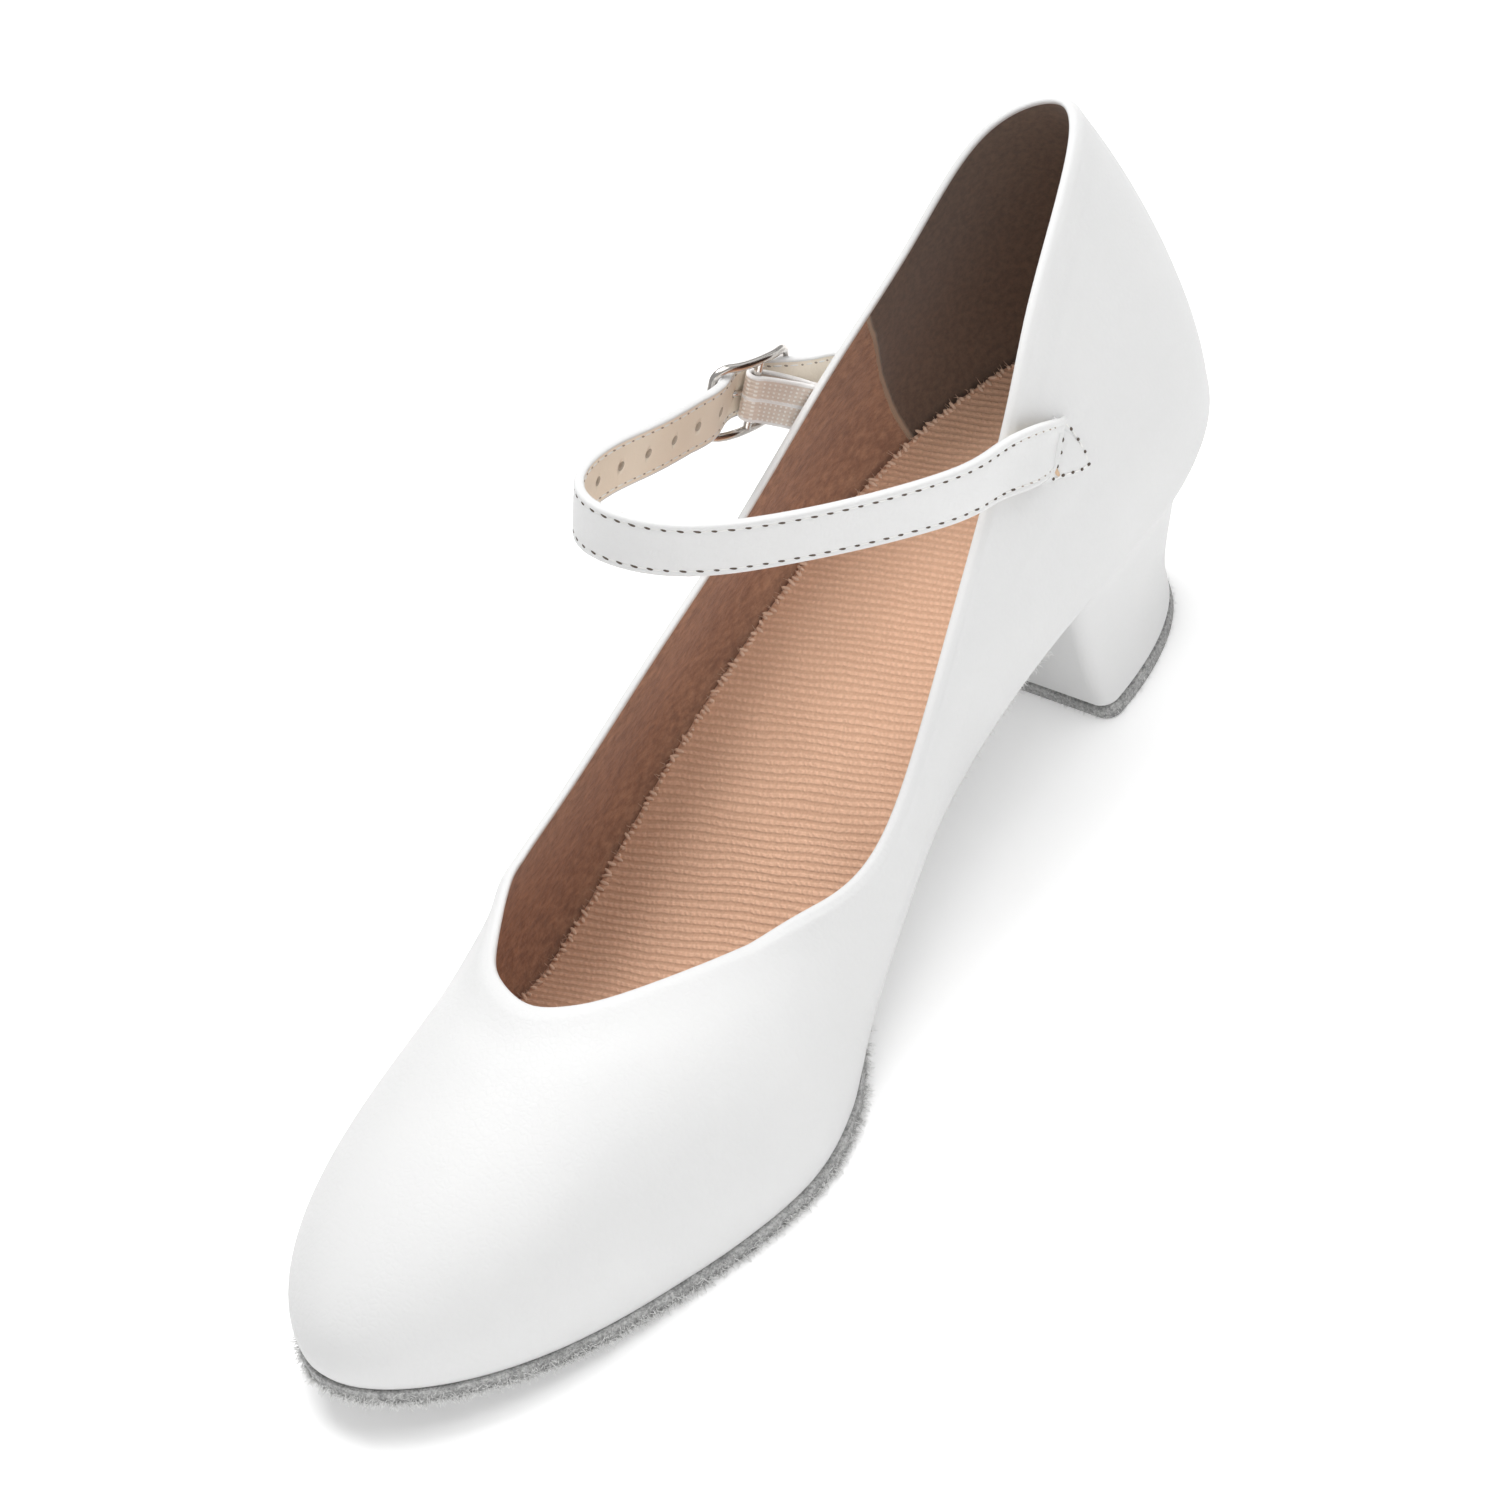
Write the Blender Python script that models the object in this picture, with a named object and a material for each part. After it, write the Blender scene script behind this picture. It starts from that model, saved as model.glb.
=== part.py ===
# Character shoe for the right foot: a pump upper on a low Cuban heel, with an instep strap
# whose buckle hangs on an elastic loop. Metres, Z up. The toe points to -Y and the inner
# side of the foot is +X. The origin is the middle of the heel's resting face.
#
# Inside the script a point is (across, along, height): across is +X, along runs forward
# from the back of the heel, and height is above the floor.

import math

import bmesh
import bpy
import numpy as np

# Driving sizes
last_length = 0.250
ball_width = 0.077
heel_rise = 0.035
collar_height = 0.060
upper_wall = 0.0018
rim_crown = 0.0004
sole_thickness = 0.003
waist_thickness = 0.0022
sole_margin = 0.0005
waist_inset = 0.0025
sole_chamfer = 0.0004
insole_thickness = 0.0032
seat_length = 0.058
seat_inset = 0.0004
tip_thickness = 0.003
tip_width = 0.0388
tip_length = 0.0345
tip_back_set = 0.020
tip_roundness = 2.15
breast_corner = 0.003
strap_width = 0.0106
strap_thickness = 0.0018
strap_tail = 0.027
hole_width = 0.002
hole_pitch = 0.008
hole_count = 6
elastic_width = 0.0088
elastic_thickness = 0.0009
buckle_reach = 0.0095
buckle_wire = 0.0016
prong_wire = 0.0011
gap = 0.0003

# The bottom of the foot, from the heel seat down to the forefoot and up at the toe. What
# dips below 0 is pressed flat.
# Columns: share of the last's length, share of the heel's rise.
bed_rows = [
    (0.00, 1.000),
    (0.10, 0.958),
    (0.20, 0.905),
    (0.30, 0.775),
    (0.40, 0.545),
    (0.50, 0.230),
    (0.60, 0.000),
    (0.68, -0.012),
    (0.75, 0.000),
    (0.85, 0.055),
    (1.00, 0.250),
]

# The upper, a row for each section round the foot: from the back of the heel along the
# inner side to the toe, and back along the outer side. "along" is a share of the last's
# length, "across" and "out" are shares of the ball width, and "height", "up" and "down"
# are shares of the collar height. Heights start at the foot's bottom.
upper_columns = (
    "foot_along foot_across top_along top_across top_height low_out low_up top_out top_down"
).split()
upper_rows = [
    (0.001, 0.000, 0.009, 0.000, 0.977, 0.073, 0.299, 0.079, 0.322),
    (0.034, 0.228, 0.060, 0.152, 0.973, 0.062, 0.292, 0.057, 0.325),
    (0.118, 0.350, 0.159, 0.265, 0.871, 0.053, 0.263, 0.039, 0.266),
    (0.227, 0.348, 0.234, 0.319, 0.701, 0.057, 0.213, 0.027, 0.203),
    (0.367, 0.315, 0.343, 0.358, 0.474, 0.069, 0.137, 0.033, 0.178),
    (0.505, 0.356, 0.476, 0.417, 0.383, 0.084, 0.141, 0.039, 0.186),
    (0.606, 0.489, 0.555, 0.382, 0.502, 0.053, 0.213, 0.080, 0.171),
    (0.686, 0.539, 0.606, 0.323, 0.574, 0.038, 0.252, 0.182, 0.134),
    (0.783, 0.464, 0.653, 0.249, 0.611, 0.038, 0.268, 0.311, 0.100),
    (0.873, 0.364, 0.693, 0.172, 0.639, 0.039, 0.267, 0.442, 0.099),
    (0.943, 0.220, 0.715, 0.101, 0.654, 0.039, 0.251, 0.520, 0.115),
    (0.979, 0.028, 0.724, 0.011, 0.658, 0.042, 0.253, 0.548, 0.133),
    (0.960, -0.170, 0.712, -0.104, 0.649, 0.045, 0.259, 0.487, 0.150),
    (0.887, -0.338, 0.692, -0.186, 0.629, 0.045, 0.256, 0.316, 0.183),
    (0.792, -0.428, 0.661, -0.262, 0.608, 0.036, 0.236, 0.151, 0.206),
    (0.700, -0.463, 0.628, -0.329, 0.590, 0.040, 0.219, 0.085, 0.202),
    (0.609, -0.460, 0.574, -0.374, 0.562, 0.054, 0.206, 0.045, 0.185),
    (0.495, -0.448, 0.450, -0.368, 0.491, 0.065, 0.200, 0.026, 0.166),
    (0.367, -0.411, 0.329, -0.346, 0.460, 0.052, 0.202, 0.028, 0.164),
    (0.238, -0.380, 0.213, -0.314, 0.563, 0.052, 0.234, 0.026, 0.200),
    (0.132, -0.338, 0.121, -0.261, 0.719, 0.052, 0.267, 0.039, 0.267),
    (0.041, -0.213, 0.046, -0.168, 0.922, 0.065, 0.300, 0.060, 0.331),
]
columns_per_row = 4
outer_levels = 12

# The heel between its tip (0) and the seat (1). "flare" is how far the outline has grown
# from the tip's to the seat's.
heel_rows = [
    # height, flare
    (0.00, 0.00),
    (0.18, 0.03),
    (0.36, 0.14),
    (0.54, 0.30),
    (0.70, 0.45),
    (0.84, 0.60),
    (0.93, 0.79),
    (1.00, 1.00),
]

# The strap's middle line from its slit on the inner side over the instep to the buckle's
# bar. "height" is above the foot's bottom, as a share of the collar height. The leans are
# how far the strap's top edge tips inward and forward for a unit of rise.
strap_rows = [
    # along, across, height, lean across, lean along
    (0.209, 0.361, 0.556, -0.10, -0.55),
    (0.259, 0.366, 0.698, 0.01, -0.49),
    (0.308, 0.386, 0.838, 0.12, -0.44),
    (0.372, 0.332, 1.033, 0.18, -0.33),
    (0.432, 0.232, 1.231, 0.17, -0.24),
    (0.482, 0.062, 1.398, 0.08, -0.27),
    (0.487, -0.166, 1.424, 0.02, -0.39),
    (0.436, -0.292, 1.246, 0.14, -0.51),
    (0.374, -0.323, 1.014, 0.21, -0.54),
    (0.312, -0.365, 0.802, 0.18, -0.55),
    (0.250, -0.412, 0.613, 0.19, -0.56),
]

# Where the elastic leaves the outer wall: a place in the upper's rows and a share of the
# way up the wall.
slit_row = 18.93
slit_level = 0.80


def smooth(knots, values, at):
    """Natural cubic curve through a table's rows."""
    knots = np.asarray(knots, float)
    values = np.asarray(values, float).reshape(len(knots), -1)
    steps = np.diff(knots)
    last = len(knots) - 1
    system = np.eye(last + 1)
    bends = np.zeros_like(values)
    slopes = np.diff(values, axis=0) / steps[:, None]
    for i in range(1, last):
        system[i, i - 1 : i + 2] = steps[i - 1], 2 * (steps[i - 1] + steps[i]), steps[i]
        bends[i] = 6 * (slopes[i] - slopes[i - 1])
    bends = np.linalg.solve(system, bends)
    at = np.clip(np.atleast_1d(np.asarray(at, float)), knots[0], knots[-1])
    k = np.clip(np.searchsorted(knots, at, side="right") - 1, 0, last - 1)
    step = steps[k][:, None]
    ahead = (at - knots[k])[:, None] / step
    behind = 1 - ahead
    curve = values[k] * behind + values[k + 1] * ahead
    curve += step**2 / 6 * ((behind**3 - behind) * bends[k] + (ahead**3 - ahead) * bends[k + 1])
    return curve


def smooth_ring(values, at):
    """Closed cubic curve through a table's rows, which stand one unit apart."""
    values = np.asarray(values, float)
    count = len(values)
    rows = np.arange(count)
    system = np.eye(count) * 4
    system[rows, (rows + 1) % count] = 1
    system[rows, (rows - 1) % count] = 1
    bends = np.roll(values, -1, axis=0) - 2 * values + np.roll(values, 1, axis=0)
    bends = np.linalg.solve(system, 6 * bends)
    k = np.floor(at).astype(int)
    ahead = (at - k)[:, None]
    behind = 1 - ahead
    this, after = k % count, (k + 1) % count
    curve = values[this] * behind + values[after] * ahead
    return curve + ((behind**3 - behind) * bends[this] + (ahead**3 - ahead) * bends[after]) / 6


def bed(along):
    """Height of the foot's bottom, which is the top of the sole."""
    shares, rise = np.array(bed_rows).T
    curve = smooth(shares, rise, np.atleast_1d(along) / last_length)[:, 0]
    return sole_thickness + heel_rise * np.maximum(curve, 0)


def ease(value, low, high):
    """0 below low, 1 above high, and smooth between."""
    share = np.clip((value - low) / (high - low), 0, 1)
    return share * share * (3 - 2 * share)


def unit(vectors):
    """The same directions at length 1."""
    vectors = np.asarray(vectors, float)
    return vectors / np.linalg.norm(vectors, axis=-1, keepdims=True)


def foot_ring(places):
    """The edge where upper meets sole, and the directions out of it, seen from above."""
    rows = smooth_ring(upper_rows, places)
    edge = np.stack([rows[:, 1] * ball_width, rows[:, 0] * last_length], 1)
    nudge = 0.01
    before = smooth_ring(upper_rows, places - nudge)
    after = smooth_ring(upper_rows, places + nudge)
    run_across = (after[:, 1] - before[:, 1]) * ball_width
    run_along = (after[:, 0] - before[:, 0]) * last_length
    return edge, unit(np.stack([run_along, -run_across], 1))


def wall_grid(places, levels):
    """Outer face of the upper: a column of points for each place, at each level."""
    rows = smooth_ring(upper_rows, places)
    value = {name: rows[:, i] for i, name in enumerate(upper_columns)}
    edge, outward = foot_ring(places)
    foot = np.column_stack([edge, bed(edge[:, 1])])
    top_along = value["top_along"] * last_length
    top_height = bed(top_along) + value["top_height"] * collar_height
    top = np.column_stack([value["top_across"] * ball_width, top_along, top_height])
    side_reach = 0.16 * ball_width
    falling = unit(outward * side_reach + (foot - top)[:, :2])
    low = foot + np.column_stack(
        [outward * value["low_out"][:, None] * ball_width, value["low_up"] * collar_height]
    )
    high = top + np.column_stack(
        [falling * value["top_out"][:, None] * ball_width, -value["top_down"] * collar_height]
    )
    t = levels[None, :, None]
    foot, low, high, top = (p[:, None] for p in (foot, low, high, top))
    return (
        (1 - t) ** 3 * foot + 3 * (1 - t) ** 2 * t * low + 3 * (1 - t) * t**2 * high + t**3 * top
    )


def inward_grid(outer, outward, depth):
    """The face that lies depth inside a wall grid, level with it at the foot's bottom."""
    along_ring = np.roll(outer, -1, axis=0) - np.roll(outer, 1, axis=0)
    up_wall = np.gradient(outer, axis=1)
    inner = outer - unit(np.cross(along_ring, up_wall)) * depth
    inner[:, 0, :2] = outer[:, 0, :2] - outward * depth
    inner[:, 0, 2] = outer[:, 0, 2]
    return inner


ring_places = np.arange(len(upper_rows) * columns_per_row) / columns_per_row
toe_place = upper_rows.index(max(upper_rows)) * columns_per_row
wall_levels = np.linspace(0, 1, outer_levels)


def to_world(points):
    """From (across, along, height) to Blender's axes."""
    points = np.array(points, float)
    points[:, 1] = tip_back_set + tip_length / 2 - points[:, 1]
    return points


def make_material(name, colour, roughness, metallic=0.0):
    """A plain material for one sub-part."""
    material = bpy.data.materials.new(name)
    material.use_nodes = True
    shader = material.node_tree.nodes["Principled BSDF"]
    shader.inputs["Base Color"].default_value = (*colour, 1)
    shader.inputs["Roughness"].default_value = roughness
    shader.inputs["Metallic"].default_value = metallic
    material.diffuse_color = (*colour, 1)
    return material


def make_object(name, points, faces, material, sharp_angle=40):
    """A smooth-shaded object whose faces point out."""
    mesh = bpy.data.meshes.new(name)
    mesh.from_pydata([tuple(p) for p in to_world(points)], [], faces)
    work = bmesh.new()
    work.from_mesh(mesh)
    bmesh.ops.recalc_face_normals(work, faces=work.faces)
    work.to_mesh(mesh)
    work.free()
    mesh.shade_smooth()
    mesh.set_sharp_from_angle(angle=math.radians(sharp_angle))
    mesh.materials.append(material)
    item = bpy.data.objects.new(name, mesh)
    bpy.context.scene.collection.objects.link(item)
    return item


def band_faces(first, second, count, closed=True):
    """Quads between two rings of points."""
    return [
        (first + i, first + (i + 1) % count, second + (i + 1) % count, second + i)
        for i in range(count if closed else count - 1)
    ]


def zip_faces(left, right, along):
    """Triangles that close a ring crosswise, from the heel end to the toe end."""
    faces = []
    i = j = 0
    while i < len(left) - 1 or j < len(right) - 1:
        right_done = j == len(right) - 1
        left_next = i < len(left) - 1 and (right_done or along[left[i + 1]] <= along[right[j + 1]])
        if left_next:
            faces.append((left[i], left[i + 1], right[j]))
            i += 1
        else:
            faces.append((left[i], right[j + 1], right[j]))
            j += 1
    return faces


def make_stack(name, rings, front, material):
    """A solid of stacked rings, closed crosswise at both ends. Each ring runs forward
    along the inner side to the index front, then back along the outer side."""
    count = len(rings[0])
    points = np.vstack(rings)
    faces = []
    for level in range(len(rings) - 1):
        faces += band_faces(level * count, (level + 1) * count, count)
    for start in (0, len(points) - count):
        left = [start + i for i in range(front + 1)]
        right = [start + i for i in range(count - 1, front, -1)]
        faces += zip_faces(left, right, points[:, 1])
    return make_object(name, points, faces, material)


def make_upper(material):
    """The whole wall, with a rounded rim at the topline and a flat edge at the sole."""
    outer = wall_grid(ring_places, wall_levels)
    outward = foot_ring(ring_places)[1]
    inner = inward_grid(outer, outward, upper_wall)
    climb = unit(outer[:, -1] - outer[:, -2])
    rim = (outer[:, -1] + inner[:, -1]) / 2 + climb * rim_crown
    picked = np.concatenate([np.arange(outer_levels - 1, 3, -2), [3, 2, 1, 0]])
    rings = [outer[:, i] for i in range(outer_levels)] + [rim] + [inner[:, i] for i in picked]
    count = len(ring_places)
    faces = []
    for level in range(len(rings)):
        faces += band_faces(level * count, (level + 1) % len(rings) * count, count)
    return make_object("upper", np.vstack(rings), faces, material, 60)


def make_insole(material):
    """Fills the upper's bottom opening and follows its inner wall."""
    outward = foot_ring(ring_places)[1]
    inner = inward_grid(wall_grid(ring_places, wall_levels), outward, upper_wall)[:, :3]
    rings = []
    for height in (0, insole_thickness * 0.55, insole_thickness):
        ring = []
        for column, away in zip(inner, outward):
            lift = column[:, 2] - bed(column[:, 1])
            across = np.interp(height, lift, column[:, 0]) - away[0] * gap
            along = np.interp(height, lift, column[:, 1]) - away[1] * gap
            ring.append((across, along, bed(along)[0] + height))
        rings.append(np.array(ring))
    return make_stack("insole", rings, toe_place, material)


def side_width(along, side, ring):
    """How far the foot's edge lies from the middle on one side."""
    half = ring[: toe_place + 1] if side > 0 else np.vstack([ring[toe_place:], ring[:1]])[::-1]
    return np.interp(along, half[:, 1], half[:, 0])


def make_outsole(material):
    """From the heel's breast to the toe, narrow at the waist, flat under the ball."""
    edge, outward = foot_ring(ring_places)
    kept = edge[:, 1] > seat_length + 4 * sole_thickness
    rear = seat_length + gap
    front = toe_place - np.flatnonzero(kept)[0] + 1
    inner_rear = (side_width(rear, 1, edge), rear)
    outer_rear = (side_width(rear, -1, edge), rear)
    edge = np.vstack([[inner_rear], edge[kept], [outer_rear]])
    outward = np.vstack([[(1, 0)], outward[kept], [(-1, 0)]])
    ball_share = ease(edge[:, 1], 0.50 * last_length, 0.60 * last_length)
    reach = ball_share * sole_margin - (1 - ball_share) * waist_inset
    outline = edge + outward * reach[:, None]
    trimmed = outline - outward * sole_chamfer
    trimmed[[0, -1], 1] = outline[[0, -1], 1]

    def thickness(points):
        ball = ease(points[:, 1], 0.50 * last_length, 0.60 * last_length)
        return waist_thickness + (sole_thickness - waist_thickness) * ball

    rings = [
        np.column_stack([outline, bed(outline[:, 1]) - gap]),
        np.column_stack([outline, bed(outline[:, 1]) - thickness(outline) + sole_chamfer]),
        np.column_stack([trimmed, bed(trimmed[:, 1]) - thickness(trimmed)]),
    ]
    return make_stack("outsole", rings, front, material)


def heel_sides():
    """Distances behind the breast, as shares of the heel's length, from the back to the
    breast, with a rounded corner at the breast."""
    corner = breast_corner / tip_length
    sweep = 1 - np.linspace(0, math.sqrt(1 - corner), 12) ** 2
    turn = corner * (1 - np.sin(np.radians([30, 60, 90])))
    return np.concatenate([sweep, turn])


def cut_corner(behind, length):
    """How much narrower the heel is this far behind its breast, in its rounded corner."""
    inside = np.clip(breast_corner - behind * length, 0, breast_corner)
    return breast_corner - np.sqrt(breast_corner**2 - inside**2)


def tip_outline():
    """The horseshoe outline of the heel's resting face."""
    behind = heel_sides()
    half = tip_width / 2 * np.sqrt(1 - behind**tip_roundness) - cut_corner(behind, tip_length)
    half[0] = 0
    along = tip_back_set + tip_length * (1 - behind)
    inner_side = np.column_stack([half, along])
    outer_side = (inner_side * [-1, 1])[:0:-1]
    return np.vstack([inner_side, outer_side])


def seat_outline():
    """The outline where the heel meets the upper, taken from the foot's edge."""
    edge = foot_ring(np.linspace(0, len(upper_rows), 353)[:-1])[0]
    toe = toe_place * 16 // columns_per_row
    inner_half = edge[: toe + 1]
    outer_half = np.vstack([edge[toe:], edge[:1]])[::-1]
    behind = heel_sides()
    back = edge[0, 1] + seat_inset
    length = seat_length - back
    along = back + length * (1 - behind)
    narrowing = seat_inset + cut_corner(behind, length)
    inner_side = np.interp(along, inner_half[:, 1], inner_half[:, 0]) - narrowing
    outer_side = np.interp(along, outer_half[:, 1], outer_half[:, 0]) + narrowing
    inner_side[0] = 0
    inner = np.column_stack([inner_side, along])
    outer = np.column_stack([outer_side, along])[:0:-1]
    return np.vstack([inner, outer])


def make_heel(material):
    """Flares from the tip to the seat, hollow at the back and sides, flat at the breast."""
    bottom, seat = tip_outline(), seat_outline()
    behind = heel_sides()
    behind = np.concatenate([behind, behind[:0:-1]])
    low = tip_thickness + gap
    high = bed(seat[:, 1]) - gap
    rings = []
    for height, flare in heel_rows:
        share_along = flare * behind + height * (1 - behind)
        across = bottom[:, 0] + (seat[:, 0] - bottom[:, 0]) * flare
        along = bottom[:, 1] + (seat[:, 1] - bottom[:, 1]) * share_along
        rings.append(np.column_stack([across, along, low + (high - low) * height]))
    return make_stack("heel", rings, len(heel_sides()) - 1, material)


def make_heel_tip(material):
    """The top piece that the heel stands on."""
    outline = tip_outline()
    rings = [np.column_stack([outline, np.full(len(outline), z)]) for z in (0, tip_thickness)]
    return make_stack("heel_tip", rings, len(heel_sides()) - 1, material)


def ribbon_mesh(centres, edges, half_widths, thickness):
    """Points and faces of a flat band with blunted edges along a line of centres."""
    face_out = unit(np.cross(np.gradient(centres, axis=0), edges))
    t = thickness / 2
    blunt = 0.4 * min(t, half_widths.min())
    rings = []
    for across_share, blunt_in, out in (
        (1, 0, t - blunt),
        (1, blunt, t),
        (-1, blunt, t),
        (-1, 0, t - blunt),
        (-1, 0, blunt - t),
        (-1, blunt, -t),
        (1, blunt, -t),
        (1, 0, blunt - t),
    ):
        reach = across_share * (half_widths - blunt_in)
        rings.append(centres + edges * reach[:, None] + face_out * out)
    points = np.stack(rings, 1).reshape(-1, 3)
    faces = []
    for i in range(len(centres) - 1):
        faces += band_faces(i * 8, (i + 1) * 8, 8)
    faces.append(tuple(range(8)))
    faces.append(tuple(range(len(points) - 8, len(points))))
    return points, faces


def tube_mesh(path, radius, sides=8, closed=False):
    """Points and faces of a round wire along a path that lies near one plane."""
    if closed:
        run = unit(np.roll(path, -1, axis=0) - np.roll(path, 1, axis=0))
    else:
        run = unit(np.gradient(path, axis=0))
    plane = unit(np.cross(path[1] - path[0], path[len(path) // 2] - path[0]))
    beside = unit(np.cross(run, plane))
    above = np.cross(beside, run)
    turns = np.arange(sides) * 2 * math.pi / sides
    points = (
        path[:, None]
        + beside[:, None] * np.cos(turns)[None, :, None] * radius
        + above[:, None] * np.sin(turns)[None, :, None] * radius
    ).reshape(-1, 3)
    faces = []
    for i in range(len(path) if closed else len(path) - 1):
        faces += band_faces(i * sides, (i + 1) % len(path) * sides, sides)
    if not closed:
        faces.append(tuple(range(sides)))
        faces.append(tuple(range(len(points) - sides, len(points))))
    return points, faces


# The buckle's own place: "run" follows the strap to its free end, "edge" runs along the
# bar, and "out" points away from the foot. Strap, elastic, frame and prong are set by it.
strap_end_row = 9.82
strap_over_bar = 0.0019
strap_under_front = 0.0002
strap_under_rear = -0.0031
strap_tail_level = -0.0053
elastic_pitch = strap_thickness / 2 + gap + elastic_thickness + gap
bar_out = strap_over_bar - elastic_pitch - buckle_wire / 2
end_over_strap = strap_thickness / 2 + gap + buckle_wire / 2
front_out = strap_under_front + end_over_strap
rear_out = strap_under_rear + end_over_strap
prong_crossing = -0.0024
# The frame's bowed sides: share of the reach, level.
frame_bow = [
    (-1.00, front_out),
    (-0.72, 0.0005),
    (-0.40, -0.0006),
    (0.00, bar_out + 0.0001),
    (0.50, -0.0015),
    (1.00, rear_out),
]


def strap_line(places):
    """Middle line and edge directions of the strap up to the bar."""
    rows = np.array(strap_rows)
    line = smooth(np.arange(len(rows)), rows, places)
    along = line[:, 0] * last_length
    height = bed(along) + line[:, 2] * collar_height
    centres = np.column_stack([line[:, 1] * ball_width, along, height])
    edges = unit(np.column_stack([line[:, 3], line[:, 4], np.ones(len(line))]))
    return centres, edges


def buckle_place():
    """The middle of the strap over the bar, and the directions run, edge and out."""
    centres, edges = strap_line([strap_end_row - 0.05, strap_end_row])
    run = unit(centres[1] - centres[0])
    edge = unit(edges[1] - run * np.dot(edges[1], run))
    out = np.cross(run, edge)
    return centres[1], run, edge, out if out[0] < 0 else -out


def strap_path():
    """Centres and edge directions of the whole strap, woven through the buckle."""
    middle, run, edge, out = buckle_place()
    centres, edges = strap_line(np.linspace(0, strap_end_row, 45))
    steps = np.linalg.norm(np.diff(centres, axis=0), axis=1)
    travel = np.concatenate([[0], np.cumsum(steps)])
    travel -= travel[-1]
    tail = np.linspace(0, strap_tail, 16)[1:]
    droop = np.outer((tail / strap_tail) ** 2, (0, 0, -0.08 * strap_tail))
    centres = np.vstack([centres, middle + np.outer(tail, run) + droop])
    edges = np.vstack([edges, np.repeat([edge], len(tail), axis=0)])
    travel = np.concatenate([travel, tail])
    weave_at = np.array([-2.0, -1.0, 0.0, 1.0, 2.0, 3.2]) * buckle_reach
    front, rear = strap_under_front, strap_under_rear
    weave = (0, front, strap_over_bar, rear, strap_tail_level, strap_tail_level)
    lift = smooth(weave_at, weave, travel)[:, 0] * (travel > weave_at[0])
    centres = centres + np.outer(lift, out)
    direction = unit(np.gradient(centres, axis=0))
    edges = unit(edges - direction * np.sum(edges * direction, axis=1, keepdims=True))
    return centres, edges, travel


def make_strap(material):
    """The strap with its rounded free end, its holes and the hole that the prong is in."""
    centres, edges, travel = strap_path()
    tip = np.clip((travel - strap_tail + strap_width / 2) / (strap_width / 2), 0, 0.96)
    half_widths = strap_width / 2 * np.sqrt(1 - tip**2)
    points, faces = ribbon_mesh(centres, edges, half_widths, strap_thickness)
    strap = make_object("strap", points, faces, material)
    run = unit(np.gradient(centres, axis=0))
    facing = unit(np.cross(run, edges))
    first_hole = prong_crossing - hole_pitch * hole_count
    for number in range(hole_count + 2):
        at = first_hole + number * hole_pitch
        if number == hole_count:
            continue
        centre = [np.interp(at, travel, centres[:, k]) for k in range(3)]
        away = unit([np.interp(at, travel, facing[:, k]) for k in range(3)])
        path = np.array([centre - away * strap_thickness, centre + away * strap_thickness])
        cut_with(strap, f"hole_{number}", *peg_mesh(path, hole_width / 2, 10))
    fat = prong_wire / 2 + gap * 1.3
    cut_with(strap, "prong_hole", *tube_mesh(prong_path()[9:], fat))
    return strap


def peg_mesh(ends, radius, sides):
    """A straight peg between two points."""
    along = unit(ends[1] - ends[0])
    beside = unit(np.cross(along, (0.3, 0.2, 0.9)))
    above = np.cross(along, beside)
    turns = np.arange(sides) * 2 * math.pi / sides
    ring = np.outer(np.cos(turns), beside) * radius + np.outer(np.sin(turns), above) * radius
    points = np.vstack([ends[0] + ring, ends[1] + ring])
    faces = band_faces(0, sides, sides)
    faces.append(tuple(range(sides)))
    faces.append(tuple(range(sides, 2 * sides)))
    return points, faces


def boolean_with(item, other, name, operation):
    """Adds a Boolean modifier, and hides the other object from the model."""
    other.hide_render = True
    other.display_type = "WIRE"
    modifier = item.modifiers.new(name, "BOOLEAN")
    modifier.operation = operation
    modifier.solver = "EXACT"
    modifier.object = other


def cut_with(item, name, points, faces):
    """Cuts a closed shape out of an object."""
    cutter = make_object(f"cutter_{name}", points, faces, item.data.materials[0])
    boolean_with(item, cutter, name, "DIFFERENCE")


def make_elastic(material):
    """One band that goes from the slit round the bar and back."""
    middle, run, edge, out = buckle_place()
    bar = middle + out * bar_out
    near_slit = np.array([slit_row - 0.02, slit_row, slit_row + 0.02])
    patch = wall_grid(near_slit, np.array([slit_level - 0.02, slit_level, slit_level + 0.02]))
    slit = patch[1, 1]
    off_wall = unit(np.cross(patch[2, 1] - patch[0, 1], patch[1, 2] - patch[1, 0]))
    layer = elastic_thickness / 2 + gap
    to_slit = unit((slit - bar) - edge * np.dot(slit - bar, edge))
    beside = np.cross(to_slit, edge)
    beside = beside if np.dot(beside, out) > 0 else -beside
    wrap = buckle_wire / 2 + layer
    turns = np.radians(np.linspace(-80, -280, 11))
    around = bar + np.outer(np.cos(turns), to_slit) * wrap + np.outer(np.sin(turns), beside) * wrap
    under = slit + off_wall * layer
    over = under + off_wall * (elastic_thickness + gap)
    shares = np.linspace(0, 0.86, 7)[:, None]
    go = under + (around[0] - under) * shares
    back = over + (around[-1] - over) * shares[::-1]
    centres = np.vstack([go, around, back])
    lean = unit(np.cross(off_wall, slit - bar))
    lean = lean if np.dot(lean, edge) > 0 else -lean
    turn_share = np.concatenate([shares[:, 0], np.ones(len(around)), shares[::-1, 0]])[:, None]
    edges = unit(lean * (1 - turn_share) + edge * turn_share)
    half_widths = np.full(len(centres), elastic_width / 2)
    points, faces = ribbon_mesh(centres, edges, half_widths, elastic_thickness)
    elastic = make_object("elastic", points, faces, material)
    half_slot = prong_wire / 2 + 1.5 * gap
    slot = [bar - to_slit * 3 * wrap, bar + to_slit * 1.2 * wrap]
    slot_faces = ribbon_mesh(np.array(slot), np.array([edge, edge]), np.full(2, half_slot), 6 * wrap)
    cut_with(elastic, "prong_slot", *slot_faces)
    return elastic


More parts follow.
